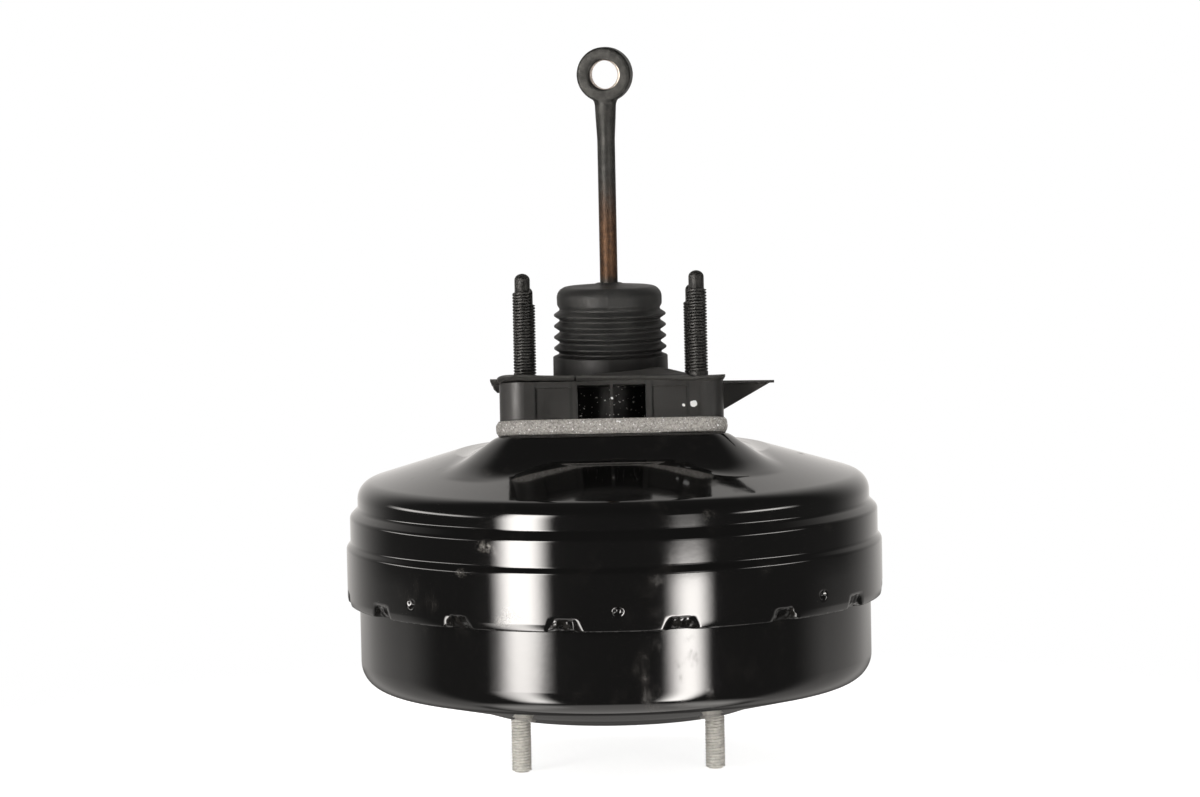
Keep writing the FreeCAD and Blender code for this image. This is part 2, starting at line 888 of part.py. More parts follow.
def hub_bearing():
    top, low, _, _ = bearing_stack()
    return tube(tail_radius + running_fit, neck_radius - sheet, low, top)


def hub_seal():
    _, high, low, _ = bearing_stack()
    outer = neck_radius - sheet
    inner = tail_radius + running_fit
    lip = inner + seal_lip_width
    step = lip + seal_lip_width
    return turned([(inner, low), (outer, low), (outer, high), (step, high), (step, low + seal_web),
                   (lip, low + seal_web), (inner, low + seal_lip_height)])


def seal_retainer():
    _, _, high, low = bearing_stack()
    return tube(tail_radius + retainer_clearance, neck_radius - sheet, low, high)


def valve_body():
    nose_bore = disc_radius + running_fit
    plunger_bore = plunger_radius + running_fit
    seat_radius = counterbore_radius + vacuum_seat_width
    counterbore_floor = chamber_floor - counterbore_depth
    profile = [
        (plunger_bore, disc_top), (nose_bore, disc_top), (nose_bore, nose_end), (front_nose_radius, nose_end),
        (front_nose_radius, front_hub_top), (mid_tube_radius, front_hub_top),
        (mid_tube_radius, rear_flange_low), (rear_flange_radius, rear_flange_low),
        (rear_flange_radius, rear_flange_top), (tail_radius, rear_flange_top), (tail_radius, tail_end),
        (chamber_radius, tail_end), (chamber_radius, chamber_floor), (seat_radius, chamber_floor),
        (seat_radius, seat_level), (counterbore_radius, seat_level), (counterbore_radius, counterbore_floor),
        (plunger_bore, counterbore_floor),
    ]
    body = turned(profile)
    passages = []
    for angle in passage_angles:
        x = passage_circle * math.cos(math.radians(angle))
        y = passage_circle * math.sin(math.radians(angle))
        passages.append(rod(passage_radius, nose_end, chamber_floor + overrun, x, y))
    slot = Part.makeBox(key_reach + key_tail + key_fit, 2 * (key_half_width + key_fit),
                        key_thickness + 2 * key_fit,
                        Vec(-key_tail - key_fit, -key_half_width - key_fit, key_low - key_fit))
    return body.cut(passages + [slot])


def valve_key():
    plate = Part.makeBox(key_reach + key_tail, 2 * key_half_width, key_thickness,
                         Vec(-key_tail, -key_half_width, key_low))
    fork = rod(groove_radius + body_gap, key_low, key_low + key_thickness)
    mouth = Part.makeBox(key_tail + overrun, 2 * (groove_radius + body_gap), key_thickness,
                         Vec(-key_tail - overrun, -groove_radius - body_gap, key_low))
    return plate.cut([fork, mouth])


def front_hub():
    return tube(front_nose_radius + seat_gap, front_hub_radius, front_hub_low, front_hub_top)


def support_plate(level, flat, hole):
    """Dished plate with a rim turned down. The flat is the radius where its raised middle starts."""
    points = [(plate_radius, level - plate_dish - plate_rim), (plate_radius, level - plate_dish),
              (flat, level - plate_dish), (flat - plate_slope, level), (hole, level)]
    return sheet_turned(points, [plate_rim_fillet, plate_fillet, plate_fillet], -plate_sheet)


def front_support_plate():
    level = front_hub_top
    flat = plate_radius - front_plate_edge_width
    return support_plate(level, flat, mid_tube_radius + seat_gap)


def rear_support_plate():
    level = rear_flange_top
    flat = plate_radius - rear_plate_edge_width
    return support_plate(level, flat, tail_radius + seat_gap)


def rear_lock_ring():
    low = rear_flange_top + plate_sheet + membrane + 2 * body_gap
    return tube(tail_radius + seat_gap, lock_ring_radius, low, low + lock_ring_height)


def front_diaphragm():
    """Bead under the divider, a rolled edge, and a skin over the front support plate."""
    level = front_hub_top + plate_sheet + body_gap
    rim = band_radius - sheet - 2 * seat_gap
    bead = tube(rim - front_bead_width, rim, front_depth + seat_gap / 2, divider_low - seat_gap / 2)
    skin_in = mid_tube_radius + body_gap
    edge = plate_radius + plate_sheet + body_gap
    roll_low = front_hub_top - plate_dish - front_roll_drop
    flat = plate_radius - front_plate_edge_width
    points = [(rim - front_bead_width + membrane, front_depth + front_roll_above_bead),
              (edge + roll_width, roll_low), (edge + membrane, roll_low), (edge, level - plate_dish),
              (flat, level - plate_dish), (flat - plate_slope, level), (skin_in, level)]
    return bead.fuse(sheet_turned(points, rolled_edge, -membrane))


def rear_diaphragm():
    """Bead on the divider's edge, a rolled edge, and a skin over the rear support plate."""
    level = rear_flange_top + plate_sheet + body_gap
    rim = band_radius - sheet - 2 * seat_gap
    bead = tube(rim - rear_bead_width, rim, divider_top + seat_gap / 2, bead_top - seat_gap)
    edge = plate_radius + plate_sheet + body_gap
    roll_low = rear_flange_top - plate_dish - rear_roll_drop
    flat = plate_radius - rear_plate_edge_width
    points = [(rim - rear_bead_width + membrane, divider_top + rear_roll_above_bead),
              (edge + roll_width, roll_low), (edge + membrane, roll_low), (edge, level - plate_dish),
              (flat, level - plate_dish), (flat - plate_slope, level), (tail_radius + body_gap, level)]
    return bead.fuse(sheet_turned(points, rolled_edge, -membrane))


def reaction_disc():
    return rod(disc_radius, disc_low, disc_top)


def output_rod():
    low = output_tip_height + adjuster_head_height
    shaft = rod(output_radius, low, disc_low)
    head = rod(disc_radius - seat_gap, nose_end, disc_low)
    bore = rod(adjuster_stem_radius + running_fit, low, low + adjuster_stem_length + overrun)
    return shaft.fuse(head).cut(bore).removeSplitter()


def output_adjuster():
    low = output_tip_height
    neck = low + adjuster_head_height
    head = hexagon_prism(adjuster_across_flats, low, neck)
    dome = Part.makeSphere(adjuster_dome_radius, Vec(0, 0, low + adjuster_dome_radius))
    cap = rod(adjuster_across_flats, low + adjuster_head_height / 2, neck)
    head = head.common(dome.fuse(cap))
    return head.fuse(rod(adjuster_stem_radius, neck, neck + adjuster_stem_length))


def output_rod_retainer():
    low = nose_end - plate_sheet
    cap = tube(output_radius + body_gap, front_nose_radius + plate_sheet, low, nose_end)
    wall = tube(front_nose_radius, front_nose_radius + plate_sheet, nose_end, front_hub_low)
    return cap.fuse(wall).removeSplitter()


def front_seal():
    low = pilot_depth - front_seal_lip
    high = pilot_depth + sheet + front_seal_lip
    ring = tube(output_radius + running_fit, front_seal_outer, low, high)
    groove = tube(seal_hole_radius, front_seal_outer + overrun, pilot_depth, pilot_depth + sheet)
    return ring.cut(groove)


def return_spring():
    low = sheet + reinforcement + seat_gap
    high = front_hub_top - seat_gap
    return coil_spring(return_low_radius, return_high_radius, return_wire, low, high, return_turns)


def air_valve_plunger():
    """Turned plunger with a key groove, a valve head and a ball socket at its rear end."""
    tip = disc_top + plunger_tip_gap
    head_top = seat_level - plunger_head_clearance
    head_low = head_top - plunger_head_height
    groove_low = key_low - body_gap
    groove_top = key_low + key_thickness + lead_travel + body_gap
    socket_top = ball_level + math.sqrt(ball_radius ** 2 - socket_mouth ** 2)
    profile = [
        (0, tip), (plunger_radius - plunger_nose, tip), (plunger_radius, tip + plunger_nose),
        (plunger_radius, groove_low),
        (groove_radius, groove_low), (groove_radius, groove_top), (plunger_radius, groove_top),
        (plunger_radius, head_low), (counterbore_radius - plunger_head_clearance, head_low),
        (counterbore_radius - plunger_head_clearance, head_top), (plunger_radius, head_top),
        (plunger_radius, socket_top), (0, socket_top),
    ]
    ball = Part.makeSphere(ball_radius + running_fit, Vec(0, 0, ball_level))
    return turned(profile).cut(ball)


def eye_axis():
    yaw = math.radians(eye_yaw_deg)
    return Vec(-math.sin(yaw), -math.cos(yaw), 0)


def along_eye(radius, length):
    """Cylinder along the eye's bore, centred on the eye."""
    start = Vec(0, 0, eye_height) - eye_axis() * (length / 2)
    return Part.makeCylinder(radius, length, start, eye_axis())


def rod_eye():
    ring = along_eye(eye_radius, eye_thickness)
    ring = ring.makeChamfer(eye_chamfer, circles(ring, eye_radius))
    ring = ring.cut(along_eye(eye_bore_radius, 2 * eye_thickness))
    return ring.makeChamfer(eye_bore_chamfer, circles(ring, eye_bore_radius))


def pushrod():
    end = eye_height - eye_radius + rod_into_eye
    neck_low = end - rod_neck_length
    flare_low = neck_low - rod_flare
    washer_top = seat_shoulder()
    shoulder_top = washer_top + shoulder_height
    profile = [
        (0, ball_level), (rod_radius, ball_level), (rod_radius, washer_top),
        (shoulder_radius, washer_top), (shoulder_radius, shoulder_top),
        (rod_radius, shoulder_top + shoulder_slope), (rod_radius, flare_low),
        (rod_neck_radius, neck_low), (rod_neck_radius + rod_neck_draft, end), (0, end),
    ]
    body = turned(profile).fuse([Part.makeSphere(ball_radius, Vec(0, 0, ball_level)), rod_eye()])
    return body.removeSplitter()


def poppet_levels():
    face_low = seat_level + seat_gap
    face_top = face_low + poppet_face
    bead_low = face_top + poppet_bellows_length
    bead_high = bead_low + poppet_bead
    return face_low, face_top, bead_low, bead_high


def poppet_valve():
    face_low, face_top, bead_low, bead_high = poppet_levels()
    inner = poppet_bellows_radius
    return turned([
        (poppet_hole, face_low), (inner + 2 * membrane, face_low), (inner + 2 * membrane, face_top),
        (inner + membrane, face_top), (inner + membrane, bead_low), (chamber_radius - seat_gap, bead_low),
        (chamber_radius - seat_gap, bead_high), (inner, bead_high), (inner, face_top),
        (poppet_hole, face_top),
    ])


def poppet_retainer():
    _, _, _, bead_high = poppet_levels()
    return tube(retainer_hole, chamber_radius - seat_gap, bead_high, bead_high + retainer_sheet)


def poppet_spring():
    _, face_top, _, bead_high = poppet_levels()
    return coil_spring(poppet_spring_radius, poppet_spring_radius, poppet_spring_wire,
                       face_top + seat_gap, bead_high - seat_gap, poppet_spring_turns)


def spring_seat():
    _, _, _, bead_high = poppet_levels()
    return bead_high + retainer_sheet + seat_gap


def seat_shoulder():
    """Level of the rod's shoulder, which holds the spring washer from above."""
    return spring_seat() + valve_spring_length + washer_thickness + seat_gap


def valve_return_spring():
    low = spring_seat()
    return coil_spring(valve_spring_radius, valve_spring_radius, valve_spring_wire, low,
                       low + valve_spring_length, valve_spring_turns)


def spring_washer():
    top = seat_shoulder()
    return tube(rod_radius + running_fit, washer_radius, top - washer_thickness, top)


def air_filter():
    high = tail_end - filter_from_end
    return tube(filter_hole, chamber_radius - seat_gap, high - filter_length, high)


def silencer():
    high = tail_end - filter_from_end - filter_length
    return tube(filter_hole, chamber_radius - seat_gap, high - silencer_length, high)


def boot_outline(inset):
    """Boot profile from the base up to the collar, drawn inwards by the inset."""
    points = [(boot_base_radius - inset, neck_top - boot_base_below_neck),
              (boot_base_radius - inset, convolutions_low)]
    for index in range(boot_convolutions):
        low = convolutions_low + index * boot_pitch
        points.append((boot_valley_radius - inset, low + boot_pitch * boot_valley_share))
        points.append((boot_crest_radius - inset, low + boot_pitch * boot_crest_share))
    corner = boot_dome_corner - inset / 2
    centre = (boot_dome_radius - inset - corner, boot_top - inset - corner)
    points.append((boot_dome_radius - inset, dome_low + boot_pitch * boot_valley_share))
    for step in range(boot_corner_steps + 1):
        angle = math.pi / 2 * step / boot_corner_steps
        points.append((centre[0] + corner * math.cos(angle), centre[1] + corner * math.sin(angle)))
    points.append((boot_collar_radius - inset / 2, boot_top + boot_crown - inset))
    return points


def dust_boot():
    outer = boot_outline(0.0)
    inner = boot_outline(boot_wall)
    lip = rod_radius + boot_rod_gap
    top = boot_top + boot_crown + boot_collar_height
    collar = [(boot_collar_radius, top - boot_collar_corner), (boot_collar_radius - boot_collar_corner, top),
              (lip, top), (lip, boot_top + boot_crown - boot_wall)]
    inner[0] = (neck_radius + body_gap, inner[0][1])
    inner[1] = (neck_radius + body_gap, inner[1][1] - boot_wall)
    return turned(outer + collar + inner[::-1])


def at_valve(shape):
    """Moves a shape from the floor of the valve's pocket, with the nozzle along +X, to its place."""
    x, y = check_valve_place()
    placed = shape.copy()
    placed.rotate(ORIGIN, AXIS, 90 - valve_angle_deg)
    placed.translate(Vec(x, y, valve_pocket_level))
    return placed


def vacuum_check_valve():
    """Moulded elbow: body in the shell, chamber for the disc, and a hose nozzle that points outwards."""
    nozzle_level = -valve_drop
    cap_top = grommet_flange + sheet + valve_inside
    body = rod(valve_body_radius, nozzle_level - nozzle_radius, cap_top)
    collar = rod(valve_cap_radius, -grommet_flange - valve_cap_height, -grommet_flange)
    nozzle = Part.makeCylinder(nozzle_radius, nozzle_length + valve_body_radius, Vec(0, 0, nozzle_level),
                               Vec(1, 0, 0))
    barb_end = nozzle_length + valve_body_radius
    barb = Part.makeCone(nozzle_radius + nozzle_barb, nozzle_radius - nozzle_barb, nozzle_barb_length,
                         Vec(barb_end - nozzle_barb_length, 0, nozzle_level), Vec(1, 0, 0))
    chamber_low, chamber_high = valve_chamber()
    cuts = [
        rod(valve_chamber_radius, chamber_low, chamber_high),
        rod(valve_port_radius, chamber_high - overrun, cap_top + overrun),
        rod(valve_bore_radius, nozzle_level, chamber_low + overrun),
        Part.makeBox(2 * valve_chamber_radius, chamber_groove, chamber_groove,
                     Vec(-valve_chamber_radius, -chamber_groove / 2, chamber_low - chamber_groove)),
        Part.makeCylinder(valve_bore_radius, barb_end + overrun, Vec(0, 0, nozzle_level), Vec(1, 0, 0)),
    ]
    return at_valve(body.fuse([collar, nozzle, barb]).cut(cuts).removeSplitter())


def valve_chamber():
    """Chamber for the disc and its spring. The disc seats on the chamber's upper face."""
    low = -grommet_flange
    return low, low + disc_spring_length + disc_valve_thickness + body_gap


def check_valve_disc():
    top = valve_chamber()[1] - body_gap
    return at_valve(rod(disc_valve_radius, top - disc_valve_thickness, top))


def check_valve_spring():
    low = valve_chamber()[0] + seat_gap / 2
    high = low + disc_spring_length - seat_gap
    return at_valve(coil_spring(disc_spring_low_radius, disc_spring_high_radius, disc_spring_wire,
                                low, high, disc_spring_turns))


def check_valve_grommet():
    inner = valve_body_radius
    low = -grommet_flange
    high = sheet + grommet_flange
    ring = tube(inner, valve_hole_radius + grommet_lip, low, high)
    groove = tube(valve_hole_radius, valve_hole_radius + grommet_lip + overrun, 0, sheet)
    return at_valve(ring.cut(groove))


PARTS = {
    "rear_shell": rear_shell,
    "hub_neck": hub_neck,
    "front_shell": front_shell,
    "divider_plate": divider_plate,
    "divider_seal": divider_seal,
    "rear_reinforcement_plate": rear_reinforcement_plate,
    "front_reinforcement_plate": front_reinforcement_plate,
    "firewall_studs": firewall_studs,
    "master_cylinder_studs": master_cylinder_studs,
    "foam_seal": foam_seal,
    "dash_spacer": dash_spacer,
    "dash_gasket": dash_gasket,
    "hub_bearing": hub_bearing,
    "hub_seal": hub_seal,
    "seal_retainer": seal_retainer,
    "valve_body": valve_body,
    "valve_key": valve_key,
    "front_hub": front_hub,
    "front_support_plate": front_support_plate,
    "rear_support_plate": rear_support_plate,
    "rear_lock_ring": rear_lock_ring,
    "front_diaphragm": front_diaphragm,
    "rear_diaphragm": rear_diaphragm,
    "reaction_disc": reaction_disc,
    "output_rod": output_rod,
    "output_adjuster": output_adjuster,
    "output_rod_retainer": output_rod_retainer,
    "front_seal": front_seal,
    "return_spring": return_spring,
    "air_valve_plunger": air_valve_plunger,
    "pushrod": pushrod,
    "poppet_valve": poppet_valve,
    "poppet_retainer": poppet_retainer,
    "poppet_spring": poppet_spring,
    "valve_return_spring": valve_return_spring,
    "spring_washer": spring_washer,
    "air_filter": air_filter,
    "silencer": silencer,
    "dust_boot": dust_boot,
    "vacuum_check_valve": vacuum_check_valve,
    "check_valve_disc": check_valve_disc,
    "check_valve_spring": check_valve_spring,
    "check_valve_grommet": check_valve_grommet,
}


def main():
    os.makedirs("parts", exist_ok=True)
    for name, make in PARTS.items():
        shape = make()
        box = shape.BoundBox
        print(name, "valid", shape.isValid(), "solids", len(shape.Solids), "volume", round(shape.Volume),
              "z", round(box.ZMin, 2), round(box.ZMax, 2))
        shape.exportStep(os.path.join("parts", name + ".step"))


main()
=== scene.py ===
import json
import math

import bmesh
import bpy
from mathutils import Matrix, Vector, noise


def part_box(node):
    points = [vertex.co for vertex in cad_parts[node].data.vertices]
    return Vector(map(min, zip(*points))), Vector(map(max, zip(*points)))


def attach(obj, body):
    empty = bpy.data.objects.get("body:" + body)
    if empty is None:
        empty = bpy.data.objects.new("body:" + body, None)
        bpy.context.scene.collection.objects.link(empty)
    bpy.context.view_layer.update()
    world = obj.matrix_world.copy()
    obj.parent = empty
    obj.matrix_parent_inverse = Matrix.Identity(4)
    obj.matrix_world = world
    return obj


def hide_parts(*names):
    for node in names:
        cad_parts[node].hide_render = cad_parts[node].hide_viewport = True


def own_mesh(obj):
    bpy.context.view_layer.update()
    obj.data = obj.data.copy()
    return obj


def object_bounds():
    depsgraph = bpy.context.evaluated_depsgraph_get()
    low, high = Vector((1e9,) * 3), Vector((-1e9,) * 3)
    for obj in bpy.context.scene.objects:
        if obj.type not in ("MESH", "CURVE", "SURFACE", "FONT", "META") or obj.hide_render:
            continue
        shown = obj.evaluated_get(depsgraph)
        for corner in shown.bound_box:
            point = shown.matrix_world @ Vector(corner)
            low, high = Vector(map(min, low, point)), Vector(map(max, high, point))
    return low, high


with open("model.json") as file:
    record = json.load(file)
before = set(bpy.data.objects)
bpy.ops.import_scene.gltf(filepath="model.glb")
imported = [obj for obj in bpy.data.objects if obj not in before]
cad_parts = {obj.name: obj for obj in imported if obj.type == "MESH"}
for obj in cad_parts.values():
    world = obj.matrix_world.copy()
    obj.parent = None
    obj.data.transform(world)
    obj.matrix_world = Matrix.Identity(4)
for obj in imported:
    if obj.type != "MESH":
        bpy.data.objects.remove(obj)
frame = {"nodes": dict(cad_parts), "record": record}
cad_low, cad_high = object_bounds()

# Lengths are in millimetres, and a mesh is scaled to metres when it is made
MM = 0.001

# Steel drum
drum_radius = 128.0
band_radius = 132.0
band_top = 99.1
shoulder_top = 103.1
skirt_height = 28.0
skirt_flare = 2.7
flare_radius = 3.0
rim_corner = 114.5
rim_radius = 9.5
land_level = 129.5
land_outer_radius = 78.5
land_outer_fillet = 6.0
land_inner_radius = 70.0
land_inner_fillet = 3.0
neck_radius = 26.0
neck_foot_gap = 3.0
neck_foot_drop = 9.0
neck_turn_in = 5.0
neck_fillet = 1.4
sheet = 1.8
bottom_fillet = 13.0
bottom_corner = 15.5
face_radius = 66.0
face_fillet = 3.0
face_slope_radius = 78.0
face_slope_rise = 4.0
flange_gap = 0.2
flange_fillet = 1.2
valve_pocket_radius = 16.0
valve_pocket_level = 12.5
valve_pocket_inside = 2.5
valve_pocket_outside = 0.6
valve_place = Vector((98.0, 0.0)) @ Matrix.Rotation(math.radians(-60.0), 2)
pilot_radius = 24.0
pilot_depth = 14.0
pilot_fillet = 1.5
seal_hole_radius = 11.0
seal_hole_fillet = 0.4

# Inclined pad under the foam, the spacer and the gasket
pad_tilt = math.radians(8.0)
pad_level = 134.7
pad_half = 57.0
pad_corner = 14.2
pad_foot_spread = 24.5
pad_foot_level = 123.5
pad_recess_slope = 0.75
pad_margin = 8.0
pad_softness = 2.0
pressed_fillet = 3.0
pressed_reach = 104.0
pressed_blend = 4.0

# Crimps and dimples on the skirt
crimp_count = 15
crimp_spacing = 2 * math.pi / crimp_count
crimp_start = math.radians(-10.7)
crimp_half_width = 9.0
crimp_half_top = 7.3
crimp_height = 6.8
crimp_depth = 0.7
crimp_lean = 2.6
crimp_side_end = 1.12
crimp_side_share = 0.6
crimp_roof_start = 0.88
crimp_roof_end = 1.06
crimp_unevenness = 0.45
dent_frequency = 0.28
edge_curl = 0.8
edge_curl_height = 4.0
dimple_count = 7
dimple_spacing = 2 * crimp_spacing
dimple_middle = math.radians(0.4)
dimple_above_edge = 10.4
dimple_half_width = 3.2
dimple_rise = 1.9
dimple_drop = 3.6
dimple_depth = 1.5
dimple_floor_share = 0.2
pressed_band = 17.0

# Foam and gasket
foam_thickness = 7.7
foam_gap = 0.2
foam_side_height = foam_thickness - 2 * foam_gap
foam_half = 56.4
foam_corner = 13.2
foam_hole = 40.0
foam_bulge = 1.9
foam_inset = 1.5
foam_roughness = 0.3
foam_wave = 0.5
foam_lift = 0.25
gasket_top = 28.3
gasket_wave = 0.9
gasket_lift = 1.7
gasket_droop = 0.9
gasket_hump = 4.6
gasket_hump_place = 22.0
gasket_hump_width = 15.0
gasket_longest_edge = 3.0
gasket_cuts = 4

# Studs
thread_pitch = 1.5
thread_depth = 0.85
thread_run_in = 1.5
thread_run_out = 1.0
stud_radius = 4.95
firewall_stud_side = 121.0 / 2 / math.sqrt(2)
firewall_stud_reach = 51.8
dog_radius = 3.8
dog_length = 8.8
dog_chamfer = 0.6
dog_round = 3.2
dog_tip_radius = 0.25
cylinder_stud_side = 97.5 / 2
cylinder_stud_reach = 33.0
cylinder_stud_root = 8.8
cylinder_stud_chamfer = 0.9

# Pushrod
rod_radius = 4.45
rod_neck_radius = rod_radius + 1.0
rod_tip_radius = 0.01
rod_foot = 142.5
rod_swell_start = 18.0
rod_swell_middle = 8.0
rod_flat_start = 14.0
eye_level = 316.3
eye_radius = 13.7
eye_bore = 7.1
eye_thickness = 9.0
eye_yaw = math.radians(12.0)
eye_chamfer = 1.4

# Boot
boot_base_radius = 28.7
boot_crest_radius = 28.7
boot_valley_radius = 24.8
boot_dome_radius = 26.2
boot_pitch = 5.5
boot_first_crest = 180.5
boot_convolutions = 4
boot_foot_height = 2.0
boot_straight_gap = 4.2
boot_valley_gap = 2.6
boot_dome_gap = 5.0
boot_crown_drop = 3.4
boot_lip_height = 4.0
boot_lip_gap = 0.2
boot_lip_drop = 1.3
boot_lip_width = 1.4
boot_collar_width = 3.2
boot_seam = math.radians(-1.5)
boot_seam_width = 0.5
boot_seam_height = 0.16
boot_sag = 0.35
boot_shrink = 0.1

# Fineness of the meshes
shell_arc_steps = 10
front_arc_steps = 14
pressed_step = 1.0
face_step = 1.2
skirt_step = 0.55
inner_skirt_step = 0.8
lip_steps = 8
rear_shell_sides = 384
front_shell_sides = 480
skirt_sides = 1680
boot_sides = 192
foam_sides = 900
foam_side_steps = 14
thread_steps = 8
stud_sides = 40
dog_steps = 8
rod_sides = 64
rod_voxel = 0.5
rod_smoothing = 7
eye_sides = 96

# Marks: scuffs as place, width and strength, and white spots as place and width
scuffs = (
    ((-61.8, -116.7, 95.5), 6.5, 1.0),
    ((-73.6, -112.0, 82.7), 4.5, 0.9),
    ((-50.4, -124.1, 63.2), 9.0, 0.6),
    ((-54.5, -122.5, 60.2), 6.0, 0.7),
    ((44.4, -119.9, 109.0), 6.0, 0.25),
)
scuff_stretch = 1.6
spacer_spots = (
    ((35.1, -51.6, 155.5), 0.75),
    ((40.0, -52.5, 156.1), 1.7),
    ((0.1, -52.1, 159.4), 0.7),
)
# Painted shade: distances to both sides of the dark lines at the spacer's recess edges
spacer_shade_lines = (16.6, 19.8, 37.3)
cell_depths = (-47.5, -46.0, -26.0, -24.0)
cell_side = 16.0
plating_foot = (212.5, 217.5)
plating_top = (242.5, 272.5)
plating_ragged = 12.0
# Level below which the boot turns darker
boot_darker_below = 174.0

# Colours
scuff_grey = (0.2, 0.185, 0.165)
# Painted shade for the hollows of the crimps
crimp_shade_black = (0.004, 0.0038, 0.0035)
# Painted shade along the spacer's recess edges
line_shade_black = (0.002, 0.002, 0.0018)
spot_white = (0.85, 0.84, 0.82)
speck_white = (0.9, 0.88, 0.84)
# Darker rubber for the lower part of the boot
lower_boot_dark = (0.005, 0.0048, 0.0045)
bare_bore = (0.5, 0.43, 0.38)
room_grey = (0.2, 0.198, 0.195, 1.0)
background_white = (1.0, 1.0, 1.0, 1.0)

# Studio, in metres apart from the floor
studio_centre = Vector((0.0, 0.0, 0.1245))
lamp_distance = 1.6
dome_radius = 8.0
camera_target = Vector((-0.00565, 0.0, 0.1548))
camera_distance = 2.25
camera_slope = 0.0893
camera_roll = 0.0205
floor_radius = 430.0
floor_fade_start = 260.0
floor_fade_end = 420.0


def box_mm(node):
    """Corners of a CAD node's box, in millimetres."""
    low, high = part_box(node)
    return low / MM, high / MM


shell_low, shell_high = box_mm("rear_shell")
boot_low, boot_high = box_mm("dust_boot")
skirt_radius = shell_high.x
skirt_edge = shell_low.z
neck_top = box_mm("hub_neck")[1].z
flange_low = box_mm("front_shell")[1].z - sheet


# Mesh helpers


def ramp_between(low, high, value):
    """Smooth step from 0 at low to 1 at high."""
    share = min(max((value - low) / (high - low), 0.0), 1.0)
    return share * share * (3 - 2 * share)


def rounded(points, radii, steps=7):
    """Outline through the points, with an arc of each radius at each inner corner."""
    path = [Vector(points[0])]
    for before, corner, after, radius in zip(points, points[1:], points[2:], radii):
        corner = Vector(corner)
        come = (corner - Vector(before)).normalized()
        leave = (Vector(after) - corner).normalized()
        turn = come.angle(leave)
        if radius <= 0 or turn < 1e-4:
            path.append(corner)
            continue
        side = 1 if come.cross(leave) > 0 else -1
        enter = corner - come * radius * math.tan(turn / 2)
        centre = enter + Vector((-come.y, come.x)) * radius * side
        for step in range(steps + 1):
            spoke = enter - centre
            spoke.rotate(Matrix.Rotation(turn * side * step / steps, 2))
            path.append(centre + spoke)
    path.append(Vector(points[-1]))
    return path


def refined(path, spacing):
    """The same path with no step longer than the spacing."""
    fine = [path[0]]
    for a, b in zip(path, path[1:]):
        count = max(1, math.ceil((b - a).length / spacing))
        fine += [a.lerp(b, step / count) for step in range(1, count + 1)]
    return fine


def around(radius, height, angle):
    """A point at an angle from the front, where the angle runs to the right."""
    return Vector((radius * math.sin(angle), -radius * math.cos(angle), height))


def angles(count):
    """Equal steps once round."""
    return [2 * math.pi * k / count for k in range(count)]


def on_pad(point):
    """From the pad's own frame to the inclined pad."""
    y = point.y * math.cos(pad_tilt) + point.z * math.sin(pad_tilt)
    z = -point.y * math.sin(pad_tilt) + point.z * math.cos(pad_tilt)
    return Vector((point.x, y, pad_level + z))


def sheet_faces(rows, count, first=0):
    """Faces between rings of points, each ring as long as the others."""
    faces = []
    for row in range(rows - 1):
        for column in range(count):
            a = first + row * count + column
            b = first + row * count + (column + 1) % count
            faces.append((a, b, b + count, a + count))
    return faces


def join(points, faces, more_points, more_faces):
    """Adds a second mesh to the points and faces of the first."""
    faces += [tuple(index + len(points) for index in face) for face in more_faces]
    points += more_points


def mesh_object(name, points, faces, material, sharp_deg=35.0):
    """Smooth object from a mesh in millimetres, sharp at edges that turn by more than an angle."""
    mesh = bpy.data.meshes.new(name)
    mesh.from_pydata([p * MM for p in points], [], faces)
    mesh.validate()
    mesh.shade_smooth()
    mesh.set_sharp_from_angle(angle=math.radians(sharp_deg))
    obj = bpy.data.objects.new(name, mesh)
    bpy.context.scene.collection.objects.link(obj)
    mesh.materials.append(material)
    return obj


# Material helpers


